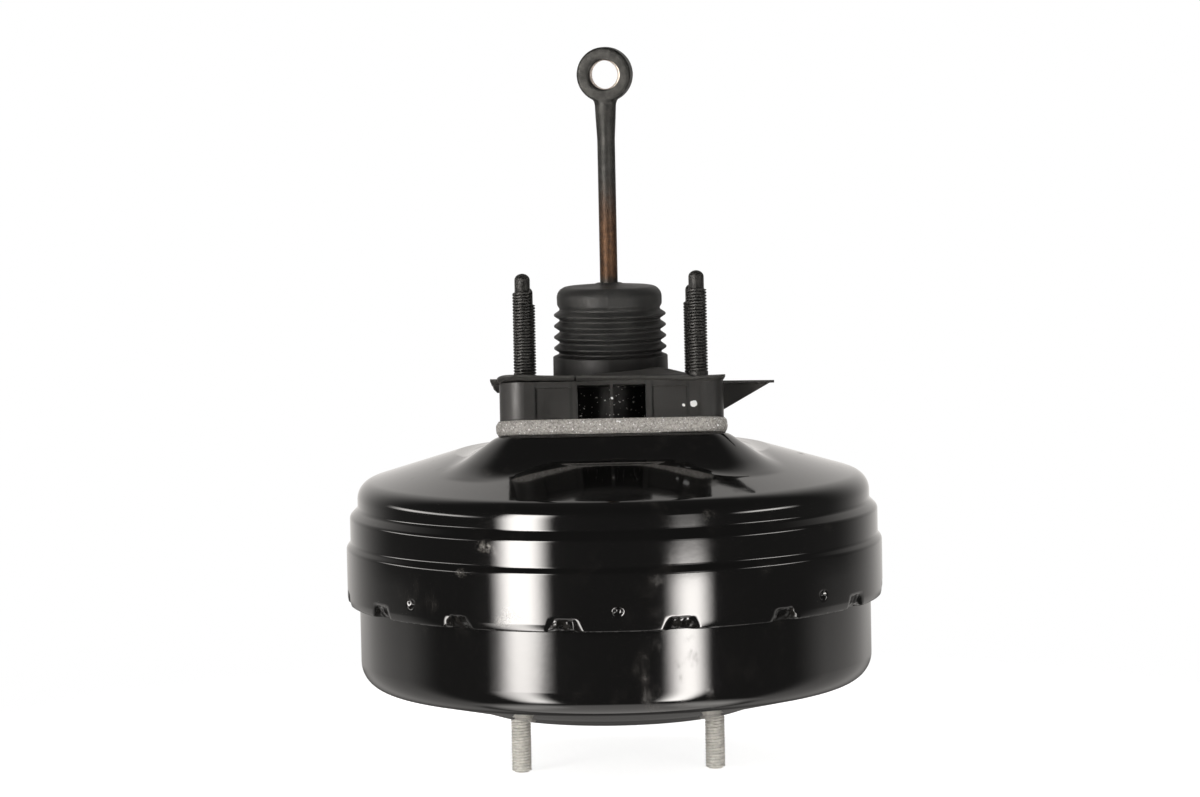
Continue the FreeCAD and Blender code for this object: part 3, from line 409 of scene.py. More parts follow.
class Look:
    """A node material built round one shader."""

    def __init__(self, name):
        self.material = bpy.data.materials.new(name)
        self.material.use_nodes = True
        self.nodes = self.material.node_tree.nodes
        self.links = self.material.node_tree.links
        self.shader = self.nodes["Principled BSDF"]
        self.where = self.nodes.new("ShaderNodeTexCoord").outputs["Object"]

    def set(self, **values):
        """Sets constants on the shader's sockets."""
        for name, value in values.items():
            self.shader.inputs[name.replace("_", " ")].default_value = value

    def feed(self, name, socket):
        """Links a pattern to one of the shader's sockets."""
        self.links.new(socket, self.shader.inputs[name])

    def place(self, scale=(1.0, 1.0, 1.0), shift=(0.0, 0.0, 0.0)):
        """Object coordinates, scaled and moved."""
        node = self.nodes.new("ShaderNodeMapping")
        node.inputs["Scale"].default_value = scale
        node.inputs["Location"].default_value = shift
        self.links.new(self.where, node.inputs["Vector"])
        return node.outputs["Vector"]

    def part(self, axis):
        """One of the object coordinates."""
        node = self.nodes.new("ShaderNodeSeparateXYZ")
        self.links.new(self.where, node.inputs[0])
        return node.outputs[axis]

    def distance(self, vector, origin=(0.0, 0.0, 0.0)):
        """Distance of a vector from an origin."""
        node = self.nodes.new("ShaderNodeVectorMath")
        node.operation = "DISTANCE"
        self.links.new(vector, node.inputs[0])
        node.inputs[1].default_value = origin
        return node.outputs["Value"]

    def noise(self, scale, detail=4.0, roughness=0.5, vector=None):
        """Cloudy pattern between 0 and 1."""
        node = self.nodes.new("ShaderNodeTexNoise")
        node.inputs["Scale"].default_value = scale
        node.inputs["Detail"].default_value = detail
        node.inputs["Roughness"].default_value = roughness
        self.links.new(vector or self.where, node.inputs["Vector"])
        return node.outputs["Fac"]

    def cells(self, scale):
        """Distance from the middle of the nearest cell."""
        node = self.nodes.new("ShaderNodeTexVoronoi")
        node.inputs["Scale"].default_value = scale
        self.links.new(self.where, node.inputs["Vector"])
        return node.outputs["Distance"]

    def band(self, value, low, high, start=0.0, end=1.0):
        """Value from start to end as the input goes from low to high."""
        node = self.nodes.new("ShaderNodeMapRange")
        node.interpolation_type = "SMOOTHSTEP"
        for name, number in (("From Min", low), ("From Max", high), ("To Min", start), ("To Max", end)):
            node.inputs[name].default_value = number
        self.links.new(value, node.inputs["Value"])
        return node.outputs["Result"]

    def window(self, value, edges):
        """1 between the two middle edges, fading to 0 at the outer two."""
        rise = self.band(value, edges[0], edges[1])
        fall = self.band(value, edges[2], edges[3], 1.0, 0.0)
        return self.calc("MULTIPLY", rise, fall)

    def calc(self, operation, a, b=0.0, clamp=True):
        """Result of an operation, held between 0 and 1 if clamped."""
        node = self.nodes.new("ShaderNodeMath")
        node.operation = operation
        node.use_clamp = clamp
        for socket, value in zip(node.inputs, (a, b)):
            if isinstance(value, (int, float)):
                socket.default_value = value
            else:
                self.links.new(value, socket)
        return node.outputs[0]

    def mix(self, share, a, b):
        """Colour that goes from a to b as the share goes from 0 to 1."""
        node = self.nodes.new("ShaderNodeMix")
        node.data_type = "RGBA"
        self.links.new(share, node.inputs[0])
        for socket, value in zip((node.inputs[6], node.inputs[7]), (a, b)):
            if isinstance(value, tuple):
                socket.default_value = (*value, 1.0)
            else:
                self.links.new(value, socket)
        return node.outputs[2]

    def bump(self, height, distance, strength=1.0):
        """Fine relief that only the shading shows."""
        node = self.nodes.new("ShaderNodeBump")
        node.inputs["Distance"].default_value = distance
        node.inputs["Strength"].default_value = strength
        self.links.new(height, node.inputs["Height"])
        self.links.new(node.outputs["Normal"], self.shader.inputs["Normal"])


def scuffed(look, colour, worn):
    """Adds the scuffs to a colour and to a pattern of wear."""
    chips = look.band(look.noise(420.0, 8.0, 0.85), 0.45, 0.62)
    for place, width, strength in scuffs:
        x, y, z = (value * MM for value in place)
        stretched = look.place((1.0, 1.0, scuff_stretch), (-x, -y, -scuff_stretch * z))
        near = look.band(look.distance(stretched), 0.2 * width * MM, width * MM, strength, 0.0)
        scuff = look.calc("MULTIPLY", near, chips)
        colour = look.mix(scuff, colour, scuff_grey)
        worn = look.calc("MAXIMUM", worn, scuff)
    return colour, worn


def crimp_painted_shade(look):
    """Painted shade in the crimps' hollows, in patches: behind the skirt's face, outside the drum and below
    the crimps' tops.
    """
    radius = look.distance(look.place((1.0, 1.0, 0.0)))
    ragged = look.calc("MULTIPLY", look.noise(700.0, 3.0, 0.6), 0.6 * MM, clamp=False)
    reach = look.calc("ADD", radius, ragged, clamp=False)
    face = (skirt_radius - 0.5) * MM
    top = (skirt_edge + crimp_height + 0.6) * MM
    behind = look.band(reach, face, face + 0.25 * MM, 1.0, 0.0)
    outside = look.band(reach, (drum_radius + 1.0) * MM, (drum_radius + 1.3) * MM)
    below = look.band(look.part("Z"), top, top + 0.2 * MM, 1.0, 0.0)
    patchy = look.band(look.noise(260.0, 3.0, 0.5), 0.36, 0.52)
    return look.calc("MULTIPLY", look.calc("MULTIPLY", behind, outside), look.calc("MULTIPLY", below, patchy))


def gloss_paint():
    """Gloss black paint with faint dust, dull rubbed patches, chipped scuffs, and painted shade that makes
    the crimps' hollows near black.
    """
    look = Look("gloss_black_paint")
    look.set(IOR=1.5)
    dust = look.band(look.noise(900.0, 3.0, 0.7), 0.68, 0.82)
    clouds = look.band(look.noise(22.0, 6.0, 0.62), 0.46, 0.66)
    rubbed = look.band(look.noise(110.0, 6.0, 0.6, look.place((1.0, 1.0, 0.6))), 0.46, 0.78)
    worn = look.calc("MULTIPLY", rubbed, clouds)
    colour = look.mix(worn, (0.0035, 0.0034, 0.0033), (0.02, 0.018, 0.016))
    colour, worn = scuffed(look, colour, worn)
    colour = look.mix(look.calc("MULTIPLY", dust, 0.2), colour, (0.12, 0.11, 0.1))
    # Painted shade: the crimps' hollows get a near-black colour, metal and more roughness, so they stay dark
    crimp_shade = crimp_painted_shade(look)
    look.feed("Base Color", look.mix(crimp_shade, colour, crimp_shade_black))
    look.feed("Metallic", crimp_shade)
    dull = look.band(worn, 0.0, 1.0, 0.075, 0.3)
    look.feed("Roughness", look.calc("MAXIMUM", dull, look.calc("MULTIPLY", crimp_shade, 0.45)))
    look.bump(look.noise(160.0, 3.0, 0.5), 0.08 * MM, 0.12)
    return look.material


def painted_line_shade(look, colour, side, shade_line_places):
    """Painted shade: darkens a colour in lines along the recess edges, at some distances to both sides."""
    for distance in shade_line_places:
        offset = look.calc("SUBTRACT", side, distance * MM, clamp=False)
        line = look.band(look.calc("ABSOLUTE", offset, clamp=False), 0.35 * MM, 1.1 * MM, 0.9, 0.0)
        colour = look.mix(line, colour, line_shade_black)
    return colour


def spilt(look, colour, side, spots):
    """Adds spots of white paint to a colour, and white specks inside the spacer's cells."""
    for place, width in spots:
        away = look.distance(look.where, [MM * value for value in place])
        wobble = look.calc("MULTIPLY", look.noise(520.0, 2.0), 1.1 * MM, clamp=False)
        reach = look.calc("ADD", away, wobble, clamp=False)
        edge = (width + 0.35) * MM
        colour = look.mix(look.band(reach, edge, edge + 0.2 * MM, 1.0, 0.0), colour, spot_white)
    deep = look.window(look.part("Y"), [MM * value for value in cell_depths])
    between = look.band(side, cell_side * MM, (cell_side + 0.5) * MM, 1.0, 0.0)
    specks = look.band(look.noise(780.0, 1.0, 0.4), 0.695, 0.71)
    return look.mix(look.calc("MULTIPLY", look.calc("MULTIPLY", deep, between), specks), colour, speck_white)


def moulded(name, dark, pale, roughness=0.5, grain=1400.0, spots=(), shade_line_places=()):
    """Moulded plastic with grain and dust, and if asked white spots and painted shade in lines along recess
    edges.
    """
    look = Look(name)
    look.set(IOR=1.5, Specular_IOR_Level=0.3)
    dust = look.band(look.noise(1500.0, 3.0, 0.7), 0.62, 0.78)
    cloud = look.noise(40.0, 5.0, 0.6)
    colour = look.mix(look.calc("MULTIPLY", dust, cloud), dark, pale)
    side = look.calc("ABSOLUTE", look.part("X"), clamp=False)
    # Painted shade: dark lines at the spacer's recess edges
    colour = painted_line_shade(look, colour, side, shade_line_places)
    if spots:
        colour = spilt(look, colour, side, spots)
    look.feed("Base Color", colour)
    look.feed("Roughness", look.band(cloud, 0.3, 0.7, roughness - 0.08, roughness + 0.1))
    look.bump(look.noise(grain, 3.0, 0.6), 0.1 * MM, 0.3)
    return look.material


def rubber(name, dark, pale, roughness=0.62, darker_below=None):
    """Matt rubber with a powdery bloom, and if asked darker below a level."""
    look = Look(name)
    look.set(IOR=1.45, Specular_IOR_Level=0.26)
    bloom = look.band(look.noise(70.0, 7.0, 0.65), 0.35, 0.75)
    speck = look.band(look.noise(2200.0, 2.0, 0.6), 0.6, 0.8)
    powder = look.calc("ADD", look.calc("MULTIPLY", bloom, 0.7), look.calc("MULTIPLY", speck, 0.3))
    colour = look.mix(powder, dark, pale)
    # Darker towards the bottom of the boot, below the given level
    if darker_below:
        share = look.band(look.part("Z"), darker_below * MM, (darker_below + 9.0) * MM)
        colour = look.mix(share, lower_boot_dark, colour)
    look.feed("Base Color", colour)
    look.feed("Roughness", look.band(bloom, 0.0, 1.0, roughness, roughness + 0.18))
    look.bump(look.noise(900.0, 4.0, 0.6), 0.2 * MM, 0.25)
    return look.material


def steel(name, dark, pale, roughness=0.35, metallic=0.9, scale=300.0):
    """Metal with a mottled, slightly brushed finish."""
    look = Look(name)
    look.set(Metallic=metallic)
    mottle = look.band(look.noise(scale, 6.0, 0.65), 0.3, 0.7)
    brushed = look.noise(scale * 2, 4.0, 0.6)
    look.feed("Base Color", look.mix(mottle, dark, pale))
    look.feed("Roughness", look.band(brushed, 0.3, 0.7, roughness - 0.08, roughness + 0.14))
    look.bump(look.noise(scale * 4, 3.0, 0.6), 0.05 * MM, 0.4)
    return look.material


def cell_foam():
    """Grey open foam with painted highlights: white, glossier specks where its cell walls would catch the
    light.
    """
    look = Look("cell_foam")
    look.set(IOR=1.4)
    cells = look.cells(800.0)
    # Painted highlights: white, glossier specks where cell walls would catch the light
    painted_highlight = look.band(look.noise(900.0, 2.0, 0.5), 0.64, 0.68)
    grain = look.noise(1300.0, 3.0, 0.7)
    tone = look.mix(look.band(cells, 0.2, 0.75), (0.46, 0.43, 0.395), (0.22, 0.203, 0.185))
    tone = look.mix(look.band(grain, 0.35, 0.7), tone, (0.54, 0.51, 0.47))
    look.feed("Base Color", look.mix(painted_highlight, tone, (1.0, 0.99, 0.97)))
    look.feed("Roughness", look.band(painted_highlight, 0.0, 1.0, 0.85, 0.3))
    look.bump(look.calc("ADD", cells, grain), 0.6 * MM, 0.8)
    return look.material


def rod_metal():
    """Dark oily steel that turns bronze low down, where it was plated, with a bare bore in the eye."""
    look = Look("rod_metal")
    look.set(Metallic=0.7, Specular_IOR_Level=0.25)
    mottle = look.band(look.noise(260.0, 6.0, 0.7), 0.3, 0.72)
    grey = look.mix(mottle, (0.014, 0.0138, 0.013), (0.034, 0.0335, 0.031))
    bronze = look.mix(mottle, (0.024, 0.0135, 0.0085), (0.072, 0.036, 0.017))
    height = look.part("Z")
    ragged = look.calc("ADD", height, look.calc("MULTIPLY", mottle, plating_ragged * MM))
    above = look.band(height, plating_foot[0] * MM, plating_foot[1] * MM)
    below = look.band(ragged, plating_top[0] * MM, plating_top[1] * MM, 1.0, 0.0)
    colour = look.mix(look.calc("MULTIPLY", above, below), grey, bronze)
    from_eye = look.distance(look.place((1.0, 0.15, 1.0), (0.0, 0.0, -eye_level * MM)))
    bore = look.band(from_eye, (eye_bore + 0.1) * MM, (eye_bore + 0.45) * MM, 1.0, 0.0)
    look.feed("Base Color", look.mix(bore, colour, bare_bore))
    look.feed("Roughness", look.band(look.noise(500.0, 4.0, 0.6), 0.3, 0.7, 0.42, 0.62))
    look.bump(look.noise(700.0, 5.0, 0.65), 0.15 * MM, 0.5)
    return look.material


paint = gloss_paint()
plastic = moulded(
    "satin_black_plastic", (0.0125, 0.0119, 0.011), (0.055, 0.051, 0.046), 0.44,
    spots=spacer_spots, shade_line_places=spacer_shade_lines,
)
sheet_black = moulded("dark_gasket_sheet", (0.026, 0.025, 0.023), (0.13, 0.125, 0.115), 0.6, 900.0)
boot_rubber = rubber("boot_rubber", (0.016, 0.0158, 0.015), (0.045, 0.044, 0.042), 0.5, boot_darker_below)
seal_rubber = rubber("seal_rubber", (0.012, 0.012, 0.012), (0.03, 0.03, 0.03), 0.45)
foam = cell_foam()
black_stud = steel("black_phosphate", (0.007, 0.0067, 0.0062), (0.022, 0.021, 0.0193), 0.5, 0.5, 500.0)
zinc_stud = steel("pale_zinc", (0.56, 0.54, 0.5), (0.78, 0.76, 0.71), 0.65, 0.1, 500.0)
zinc = steel("zinc_plate", (0.42, 0.41, 0.38), (0.62, 0.61, 0.57))
alloy = steel("satin_alloy", (0.55, 0.55, 0.55), (0.72, 0.72, 0.73), 0.38, 1.0)
spring_wire = steel("spring_wire", (0.2, 0.2, 0.2), (0.42, 0.42, 0.41), 0.35, 1.0)
phenolic = moulded("phenolic", (0.03, 0.028, 0.026), (0.09, 0.085, 0.08))
felt = moulded("filter_felt", (0.4, 0.38, 0.35), (0.6, 0.58, 0.55), 0.85, 1800.0)
rod_steel = rod_metal()

slot_looks = {
    "black_paint": paint,
    "black_plastic": plastic,
    "grey_foam": foam,
    "boot_rubber": boot_rubber,
    "seal_rubber": seal_rubber,
    "black_stud": black_stud,
    "zinc_stud": zinc_stud,
    "rod_steel": rod_steel,
    "zinc_steel": zinc,
    "plate_alloy": alloy,
    "spring_steel": spring_wire,
    "phenolic": phenolic,
    "filter_felt": felt,
}


def dress_cad_nodes():
    """Gives every CAD node the look of its material slot."""
    for part in frame["record"]["subparts"]:
        node = frame["nodes"][part["node"]]
        node.data.materials.clear()
        node.data.materials.append(slot_looks[part["material_slot"]])


def piece(obj, body, slot, *nodes):
    """Puts an object on a body and lets it stand for CAD nodes, which it hides. The slot argument is not
    used.
    """
    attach(obj, body)
    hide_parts(*nodes)


# Pressed steel shells


def blended(a, b, width, sign):
    """Larger (sign 1) or smaller (sign -1) of two heights, with a fillet between them."""
    overlap = max(width - abs(a - b), 0.0) / width if width > 0 else 0.0
    return (max(a, b) if sign > 0 else min(a, b)) + sign * overlap * overlap * width / 4


def pad_edge(x, y):
    """Distance outside the pad's rounded square, and the pad's own height at the nearest edge."""
    v = y / math.cos(pad_tilt)
    a = abs(x) - pad_half + pad_corner
    b = abs(v) - pad_half + pad_corner
    length = math.hypot(max(a, 0.0), max(b, 0.0))
    distance = length + min(max(a, b), 0.0) - pad_corner
    toward_y = max(b, 0.0) / length if length > 1e-6 else 0.0
    edge_v = v - max(distance, 0.0) * math.copysign(toward_y, v)
    return distance, pad_level - edge_v * math.sin(pad_tilt)


def pressed_height(x, y, cone):
    """Height of the rear shell where the pad rises out of the cone or is let into it."""
    distance, pad = pad_edge(x, y)
    if distance > pad_foot_spread + pad_margin:
        return cone
    out = (distance + math.sqrt(distance * distance + pad_softness)) / 2
    flank = pad + (pad_foot_level - pad) * out / pad_foot_spread
    recess = pad + pad_recess_slope * out
    fillet = pressed_fillet * ramp_between(0.5, 5.0, out)
    return blended(blended(cone, flank, fillet, 1), recess, fillet, -1)


def rear_shell_path():
    """Outline of the rear shell from the pressed band of the skirt to the foot of the neck."""
    top = skirt_edge + skirt_height
    points = [
        (skirt_radius, skirt_edge + pressed_band),
        (skirt_radius, top),
        (band_radius, top + skirt_flare),
        (band_radius, band_top),
        (drum_radius, shoulder_top),
        (drum_radius, rim_corner),
        (land_outer_radius, land_level),
        (land_inner_radius, land_level),
        (neck_radius + neck_foot_gap, land_level - neck_foot_drop),
    ]
    radii = [flare_radius] * 4 + [rim_radius, land_outer_fillet, land_inner_fillet]
    path = rounded(points, radii, shell_arc_steps)
    outer = [p for p in path if p.x > pressed_reach]
    inner = [p for p in path if p.x <= pressed_reach]
    return outer + refined([outer[-1]] + inner, pressed_step)[1:]


def crimp_push(angle, height):
    """How far a crimp pushes the skirt in, with an uneven dent from the press."""
    arc = ((angle - crimp_start + crimp_spacing / 2) % crimp_spacing - crimp_spacing / 2) * skirt_radius
    share = max(height, 0.0) / crimp_height
    half = crimp_half_width + (crimp_half_top - crimp_half_width) * share
    side = min(max((crimp_side_end - abs(arc) / half) / crimp_side_share, 0.0), 1.0)
    inside = side * side * (1 - ramp_between(crimp_roof_start, crimp_roof_end, share))
    dent = 1 + crimp_unevenness * noise.noise(Vector((angle * skirt_radius, height, 0.0)) * dent_frequency)
    return inside * dent * (crimp_depth + crimp_lean * (1 - min(share, 1.0)))


def dimple_push(angle, height):
    """How far a dimple pushes the skirt in. The dimples leave a gap at the back."""
    turn = (angle - dimple_middle + math.pi) % (2 * math.pi) - math.pi
    index = min(max(round(turn / dimple_spacing), -(dimple_count // 2)), dimple_count // 2)
    arc = (turn - index * dimple_spacing) * skirt_radius
    rise = height - dimple_above_edge
    reach = math.hypot(arc / dimple_half_width, rise / (dimple_rise if rise > 0 else dimple_drop))
    return dimple_depth * (1 - ramp_between(dimple_floor_share, 1.0, reach))


def press_depth(angle, height):
    """How far the skirt is pushed in at an angle, at a height above its edge."""
    curl = edge_curl * max(1 - height / edge_curl_height, 0.0) ** 2
    return crimp_push(angle, height) + curl + dimple_push(angle, height)


def skirt_points():
    """Pressed band of the skirt, round its edge and up its inner side."""
    lip = sheet / 2
    lip_level = skirt_edge + lip
    inner_radius = skirt_radius - sheet
    outer_side = [Vector((skirt_radius, skirt_edge + pressed_band)), Vector((skirt_radius, lip_level))]
    inner_side = [Vector((inner_radius, lip_level)), Vector((inner_radius, flange_low))]
    path = refined(outer_side, skirt_step)
    for step in range(1, lip_steps):
        angle = math.pi * step / lip_steps
        path.append(Vector((skirt_radius - lip + lip * math.cos(angle), lip_level - lip * math.sin(angle))))
    path += refined(inner_side, inner_skirt_step)
    points = []
    for p in path:
        for angle in angles(skirt_sides):
            points.append(around(p.x - press_depth(angle, p.y - skirt_edge), p.y, angle))
    return points, len(path)


def make_rear_shell():
    """Rear shell with its pressed pad, then its skirt on a finer grid, then its neck."""
    path = rear_shell_path()
    points = []
    for p in path:
        for angle in angles(rear_shell_sides):
            point = around(p.x, p.y, angle)
            if p.x <= pressed_reach:
                share = ramp_between(pressed_reach, pressed_reach - pressed_blend, p.x)
                point.z += (pressed_height(point.x, point.y, p.y) - p.y) * share
            points.append(point)
    faces = sheet_faces(len(path), rear_shell_sides)
    skirt, rows = skirt_points()
    join(points, faces, skirt, [face[::-1] for face in sheet_faces(rows, skirt_sides)])
    neck_lip = (neck_radius - neck_turn_in, neck_top)
    neck_path = rounded([(neck_radius, land_level), (neck_radius, neck_top), neck_lip], [neck_fillet], 6)
    neck = [around(p.x, p.y, angle) for p in neck_path for angle in angles(rear_shell_sides)]
    join(points, faces, neck, sheet_faces(len(neck_path), rear_shell_sides))
    skin = mesh_object("rear_shell_skin", points, faces, paint)
    piece(skin, "housing", "black_paint", "rear_shell", "hub_neck")


def pocket_height(point):
    """Height of the round pocket that the check valve sits in, or nothing outside it."""
    distance = (point.xy - valve_place).length - valve_pocket_radius
    return valve_pocket_level * (1 - ramp_between(-valve_pocket_inside, valve_pocket_outside, distance))


def make_front_shell():
    """Front shell from the bore for the master cylinder to the flange inside the skirt."""
    points = [
        (seal_hole_radius, pilot_depth + sheet),
        (seal_hole_radius, pilot_depth),
        (pilot_radius, pilot_depth),
        (pilot_radius, 0.0),
        (face_radius, 0.0),
        (face_slope_radius, face_slope_rise),
        (drum_radius, bottom_corner),
        (drum_radius, flange_low),
        (skirt_radius - sheet - flange_gap, flange_low),
    ]
    radii = [seal_hole_fillet, pilot_fillet] + [face_fillet] * 3 + [bottom_fillet, flange_fillet]
    path = rounded(points, radii, front_arc_steps)
    face_end = next(i for i, p in enumerate(path) if p.x > face_slope_radius and p.y > valve_pocket_level)
    skin = []
    for p in refined(path[:face_end], face_step) + path[face_end:]:
        for angle in angles(front_shell_sides):
            point = around(p.x, p.y, angle)
            point.z = max(point.z, pocket_height(point))
            skin.append(point)
    rows = len(skin) // front_shell_sides
    shell = mesh_object("front_shell_skin", skin, sheet_faces(rows, front_shell_sides), paint)
    piece(shell, "housing", "black_paint", "front_shell")


# Boot


def boot_path():
    """Outline of the boot from its foot to its lip on the rod."""
    low = boot_low.z
    top = boot_high.z
    points = [
        (boot_base_radius - 2.0, low),
        (boot_base_radius, low),
        (boot_base_radius, boot_first_crest - boot_straight_gap),
    ]
    radii = [0.5, 0.8]
    for index in range(boot_convolutions):
        crest = boot_first_crest + index * boot_pitch
        points += [(boot_valley_radius, crest - boot_valley_gap), (boot_crest_radius, crest)]
        radii += [0.8, 0.75]
    last = boot_first_crest + (boot_convolutions - 1) * boot_pitch
    lip_radius = rod_radius + boot_lip_gap
    points += [
        (boot_valley_radius, last + boot_valley_gap),
        (boot_dome_radius, last + boot_dome_gap),
        (boot_dome_radius, top - boot_crown_drop),
        (rod_radius + boot_collar_width, top - 1.9),
        (rod_radius + boot_lip_width, top - boot_lip_drop),
        (lip_radius, top - boot_lip_drop),
        (lip_radius, top - boot_lip_height),
    ]
    radii += [1.2, 2.5, 5.5, 2.0, 0.5, 0.2]
    return rounded(points, radii)


def make_boot():
    """Boot with a seam at the front and sides that sag a little."""
    path = boot_path()
    points = []
    for p in path:
        free = boot_low.z + boot_foot_height < p.y < boot_high.z - boot_lip_height
        for angle in angles(boot_sides):
            from_seam = ((angle - boot_seam + math.pi) % (2 * math.pi) - math.pi) * p.x
            ridge = math.exp(-(from_seam / boot_seam_width) ** 2)
            where = Vector((math.sin(angle) * 1.3, math.cos(angle) * 1.3, p.y * 0.06))
            swell = boot_seam_height * ridge + boot_sag * noise.noise(where) - boot_shrink
            points.append(around(p.x + (swell if free else 0.0), p.y, angle))
    boot = mesh_object("boot_skin", points, sheet_faces(len(path), boot_sides), boot_rubber, 50.0)
    piece(boot, "housing", "boot_rubber", "dust_boot")
    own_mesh(boot)


# Foam seal


def square_point(half, corner, share):
    """Point on a rounded square at a share of the way round it, starting at the middle of the front."""
    flat = half - corner
    side = 2 * flat
    bend = corner * math.pi / 2
    way = share * 4 * (side + bend) + flat
    quarter, along = divmod(way, side + bend)
    if along <= side:
        spot = Vector((-flat + along, -half))
    else:
        angle = (along - side) / corner
        spot = Vector((flat + corner * math.sin(angle), -flat - corner * math.cos(angle)))
    spot.rotate(Matrix.Rotation(quarter * math.pi / 2, 2))
    return spot


def foam_rows():
    """Rows of the foam ring: the share of the way from its hole to its edge, and the height."""
    face_shares = (0.0, 0.5, 0.93)
    top = foam_thickness - foam_gap
    rows = [(share, foam_gap) for share in face_shares]
    rows += [(1.0, foam_gap + foam_side_height * k / foam_side_steps) for k in range(foam_side_steps + 1)]
    rows += [(share, top) for share in reversed(face_shares)]
    return rows


def make_foam():
    """Soft ring of foam squeezed under the spacer, with a torn, wavy side."""
    rows = foam_rows()
    points = []
    for out, height in rows:
        for k in range(foam_sides):
            edge = square_point(foam_half, foam_corner, k / foam_sides)
            outward = edge.normalized()
            spot = (outward * foam_hole).lerp(edge, out)
            lift = height
            if out == 1.0:
                from_middle = abs(2 * (height - foam_gap) / foam_side_height - 1)
                bulge = 1 - from_middle ** 3
                rough = noise.fractal(Vector((spot.x, spot.y, height)) * 0.9, 1.0, 2.0, 4)
                slow = noise.noise(Vector((spot.x, spot.y, 3.0)) * 0.07)
                reach = foam_bulge * bulge + foam_roughness * rough + foam_wave * slow - foam_inset
                spot += outward * reach
                lift += foam_lift * noise.noise(Vector((spot.x, spot.y, height)) * 0.35) * bulge
            points.append(on_pad(Vector((spot.x, spot.y, lift))))
    ring = mesh_object("foam_ring", points, sheet_faces(len(rows), foam_sides), foam, 180.0)
    piece(ring, "housing", "grey_foam", "foam_seal")


def gasket_rise(spot):
    """How far the gasket stands off: a wavy rim, a lift on the left, a droop and a hump on the right."""
    out = ramp_between(30.0, 58.0, max(abs(spot.x), abs(spot.y)))
    wave = noise.noise(Vector((spot.x, spot.y, 0.0)) * 0.035 + Vector((3.1, 0.7, 0.2)))
    front = ramp_between(-40.0, -52.0, spot.y)
    lift = ramp_between(-10.0, -50.0, spot.x) * front
    droop = ramp_between(0.0, 34.0, spot.x) * front
    hump = math.exp(-((spot.x - gasket_hump_place) / gasket_hump_width) ** 2)
    hump *= ramp_between(-47.0, -34.0, spot.y)
    hump *= ramp_between(20.0, -10.0, spot.y)
    return gasket_wave * wave * out + gasket_lift * lift - gasket_droop * droop + gasket_hump * hump


def make_gasket():
    """Sheet gasket that has taken a set: it lifts, droops and buckles between the studs."""
    mesh = frame["nodes"]["dash_gasket"].data.copy()
    build = bmesh.new()
    build.from_mesh(mesh)
    bmesh.ops.triangulate(build, faces=build.faces)
    for _ in range(gasket_cuts):
        long_edges = [edge for edge in build.edges if edge.calc_length() > gasket_longest_edge * MM]
        bmesh.ops.subdivide_edges(build, edges=long_edges, cuts=1)
    for vert in build.verts:
        vert.co.z += gasket_rise(vert.co / MM) * MM
    build.to_mesh(mesh)
    build.free()
    mesh.materials.clear()
    mesh.materials.append(sheet_black)
    gasket = bpy.data.objects.new("gasket_sheet", mesh)
    bpy.context.scene.collection.objects.link(gasket)
    piece(gasket, "housing", "black_plastic", "dash_gasket")


# Studs


def stud_rows(start, tip, thread_low, thread_high, nose_start):
    """Height of each row of points below the nose, and how far the thread is cut there."""
    count = round((tip - start) / (thread_pitch / thread_steps))
    rows = []
    for k in range(count + 1):
        height = start + (tip - start) * k / count
        run_in = ramp_between(thread_low, thread_low + thread_run_in, height)
        run_out = ramp_between(thread_high, thread_high - thread_run_out, height)
        if height <= nose_start:
            rows.append((height, run_in * run_out))
    return rows


def thread_shape(turn):
    """Height of the thread over one pitch, from 0 at its narrow root to 1 on its flat crest."""
    return ramp_between(0.1, 0.42, abs((turn % 1.0) * 2 - 1))


def stud_points(place, start, tip, thread_low, thread_high, nose):
    """A threaded stud that stands up from start to tip, ended by the nose's (radius, height) points."""
    rings = []
    for height, cut in stud_rows(start, tip, thread_low, thread_high, nose[0][1]):
        ring = []
        for angle in angles(stud_sides):
            turn = height / thread_pitch - angle / (2 * math.pi)
            radius = stud_radius - thread_depth * cut * (1 - thread_shape(turn))
            ring.append(Vector((math.cos(angle), math.sin(angle), 0)) * radius + Vector((0, 0, height)))
        rings.append(ring)
    for radius, height in nose:
        ring = [Vector((radius * math.cos(a), radius * math.sin(a), height)) for a in angles(stud_sides)]
        rings.append(ring)
    points = [place(p) for ring in rings for p in ring]
    faces = sheet_faces(len(rings), stud_sides)
    last = (len(rings) - 1) * stud_sides
    faces.append(tuple(range(last, last + stud_sides)))
    return points, faces


def dog_nose(tip):
    """Plain dog point with a rounded end."""
    round_start = tip - dog_round
    nose = [
        (stud_radius - thread_depth, tip - dog_length - dog_chamfer),
        (dog_radius, tip - dog_length),
        (dog_radius, round_start),
    ]
    for step in range(1, dog_steps + 1):
        angle = math.pi / 2 * step / dog_steps
        radius = max(dog_radius * math.cos(angle), dog_tip_radius)
        nose.append((radius, round_start + dog_round * math.sin(angle)))
    return nose


def make_firewall_studs():
    """Four black studs that stand square to the inclined pad."""
    tip = gasket_top + firewall_stud_reach
    thread_low = gasket_top + 1.5
    thread_high = tip - dog_length - 0.5
    points, faces = [], []
    for x in (-firewall_stud_side, firewall_stud_side):
        for y in (-firewall_stud_side, firewall_stud_side):
            base = Vector((x, y, 0))
            stud = stud_points(lambda p: on_pad(p + base), 0.0, tip, thread_low, thread_high, dog_nose(tip))
            join(points, faces, *stud)
    studs = mesh_object("firewall_stud_threads", points, faces, black_stud, 60.0)
    piece(studs, "housing", "black_stud", "firewall_studs")


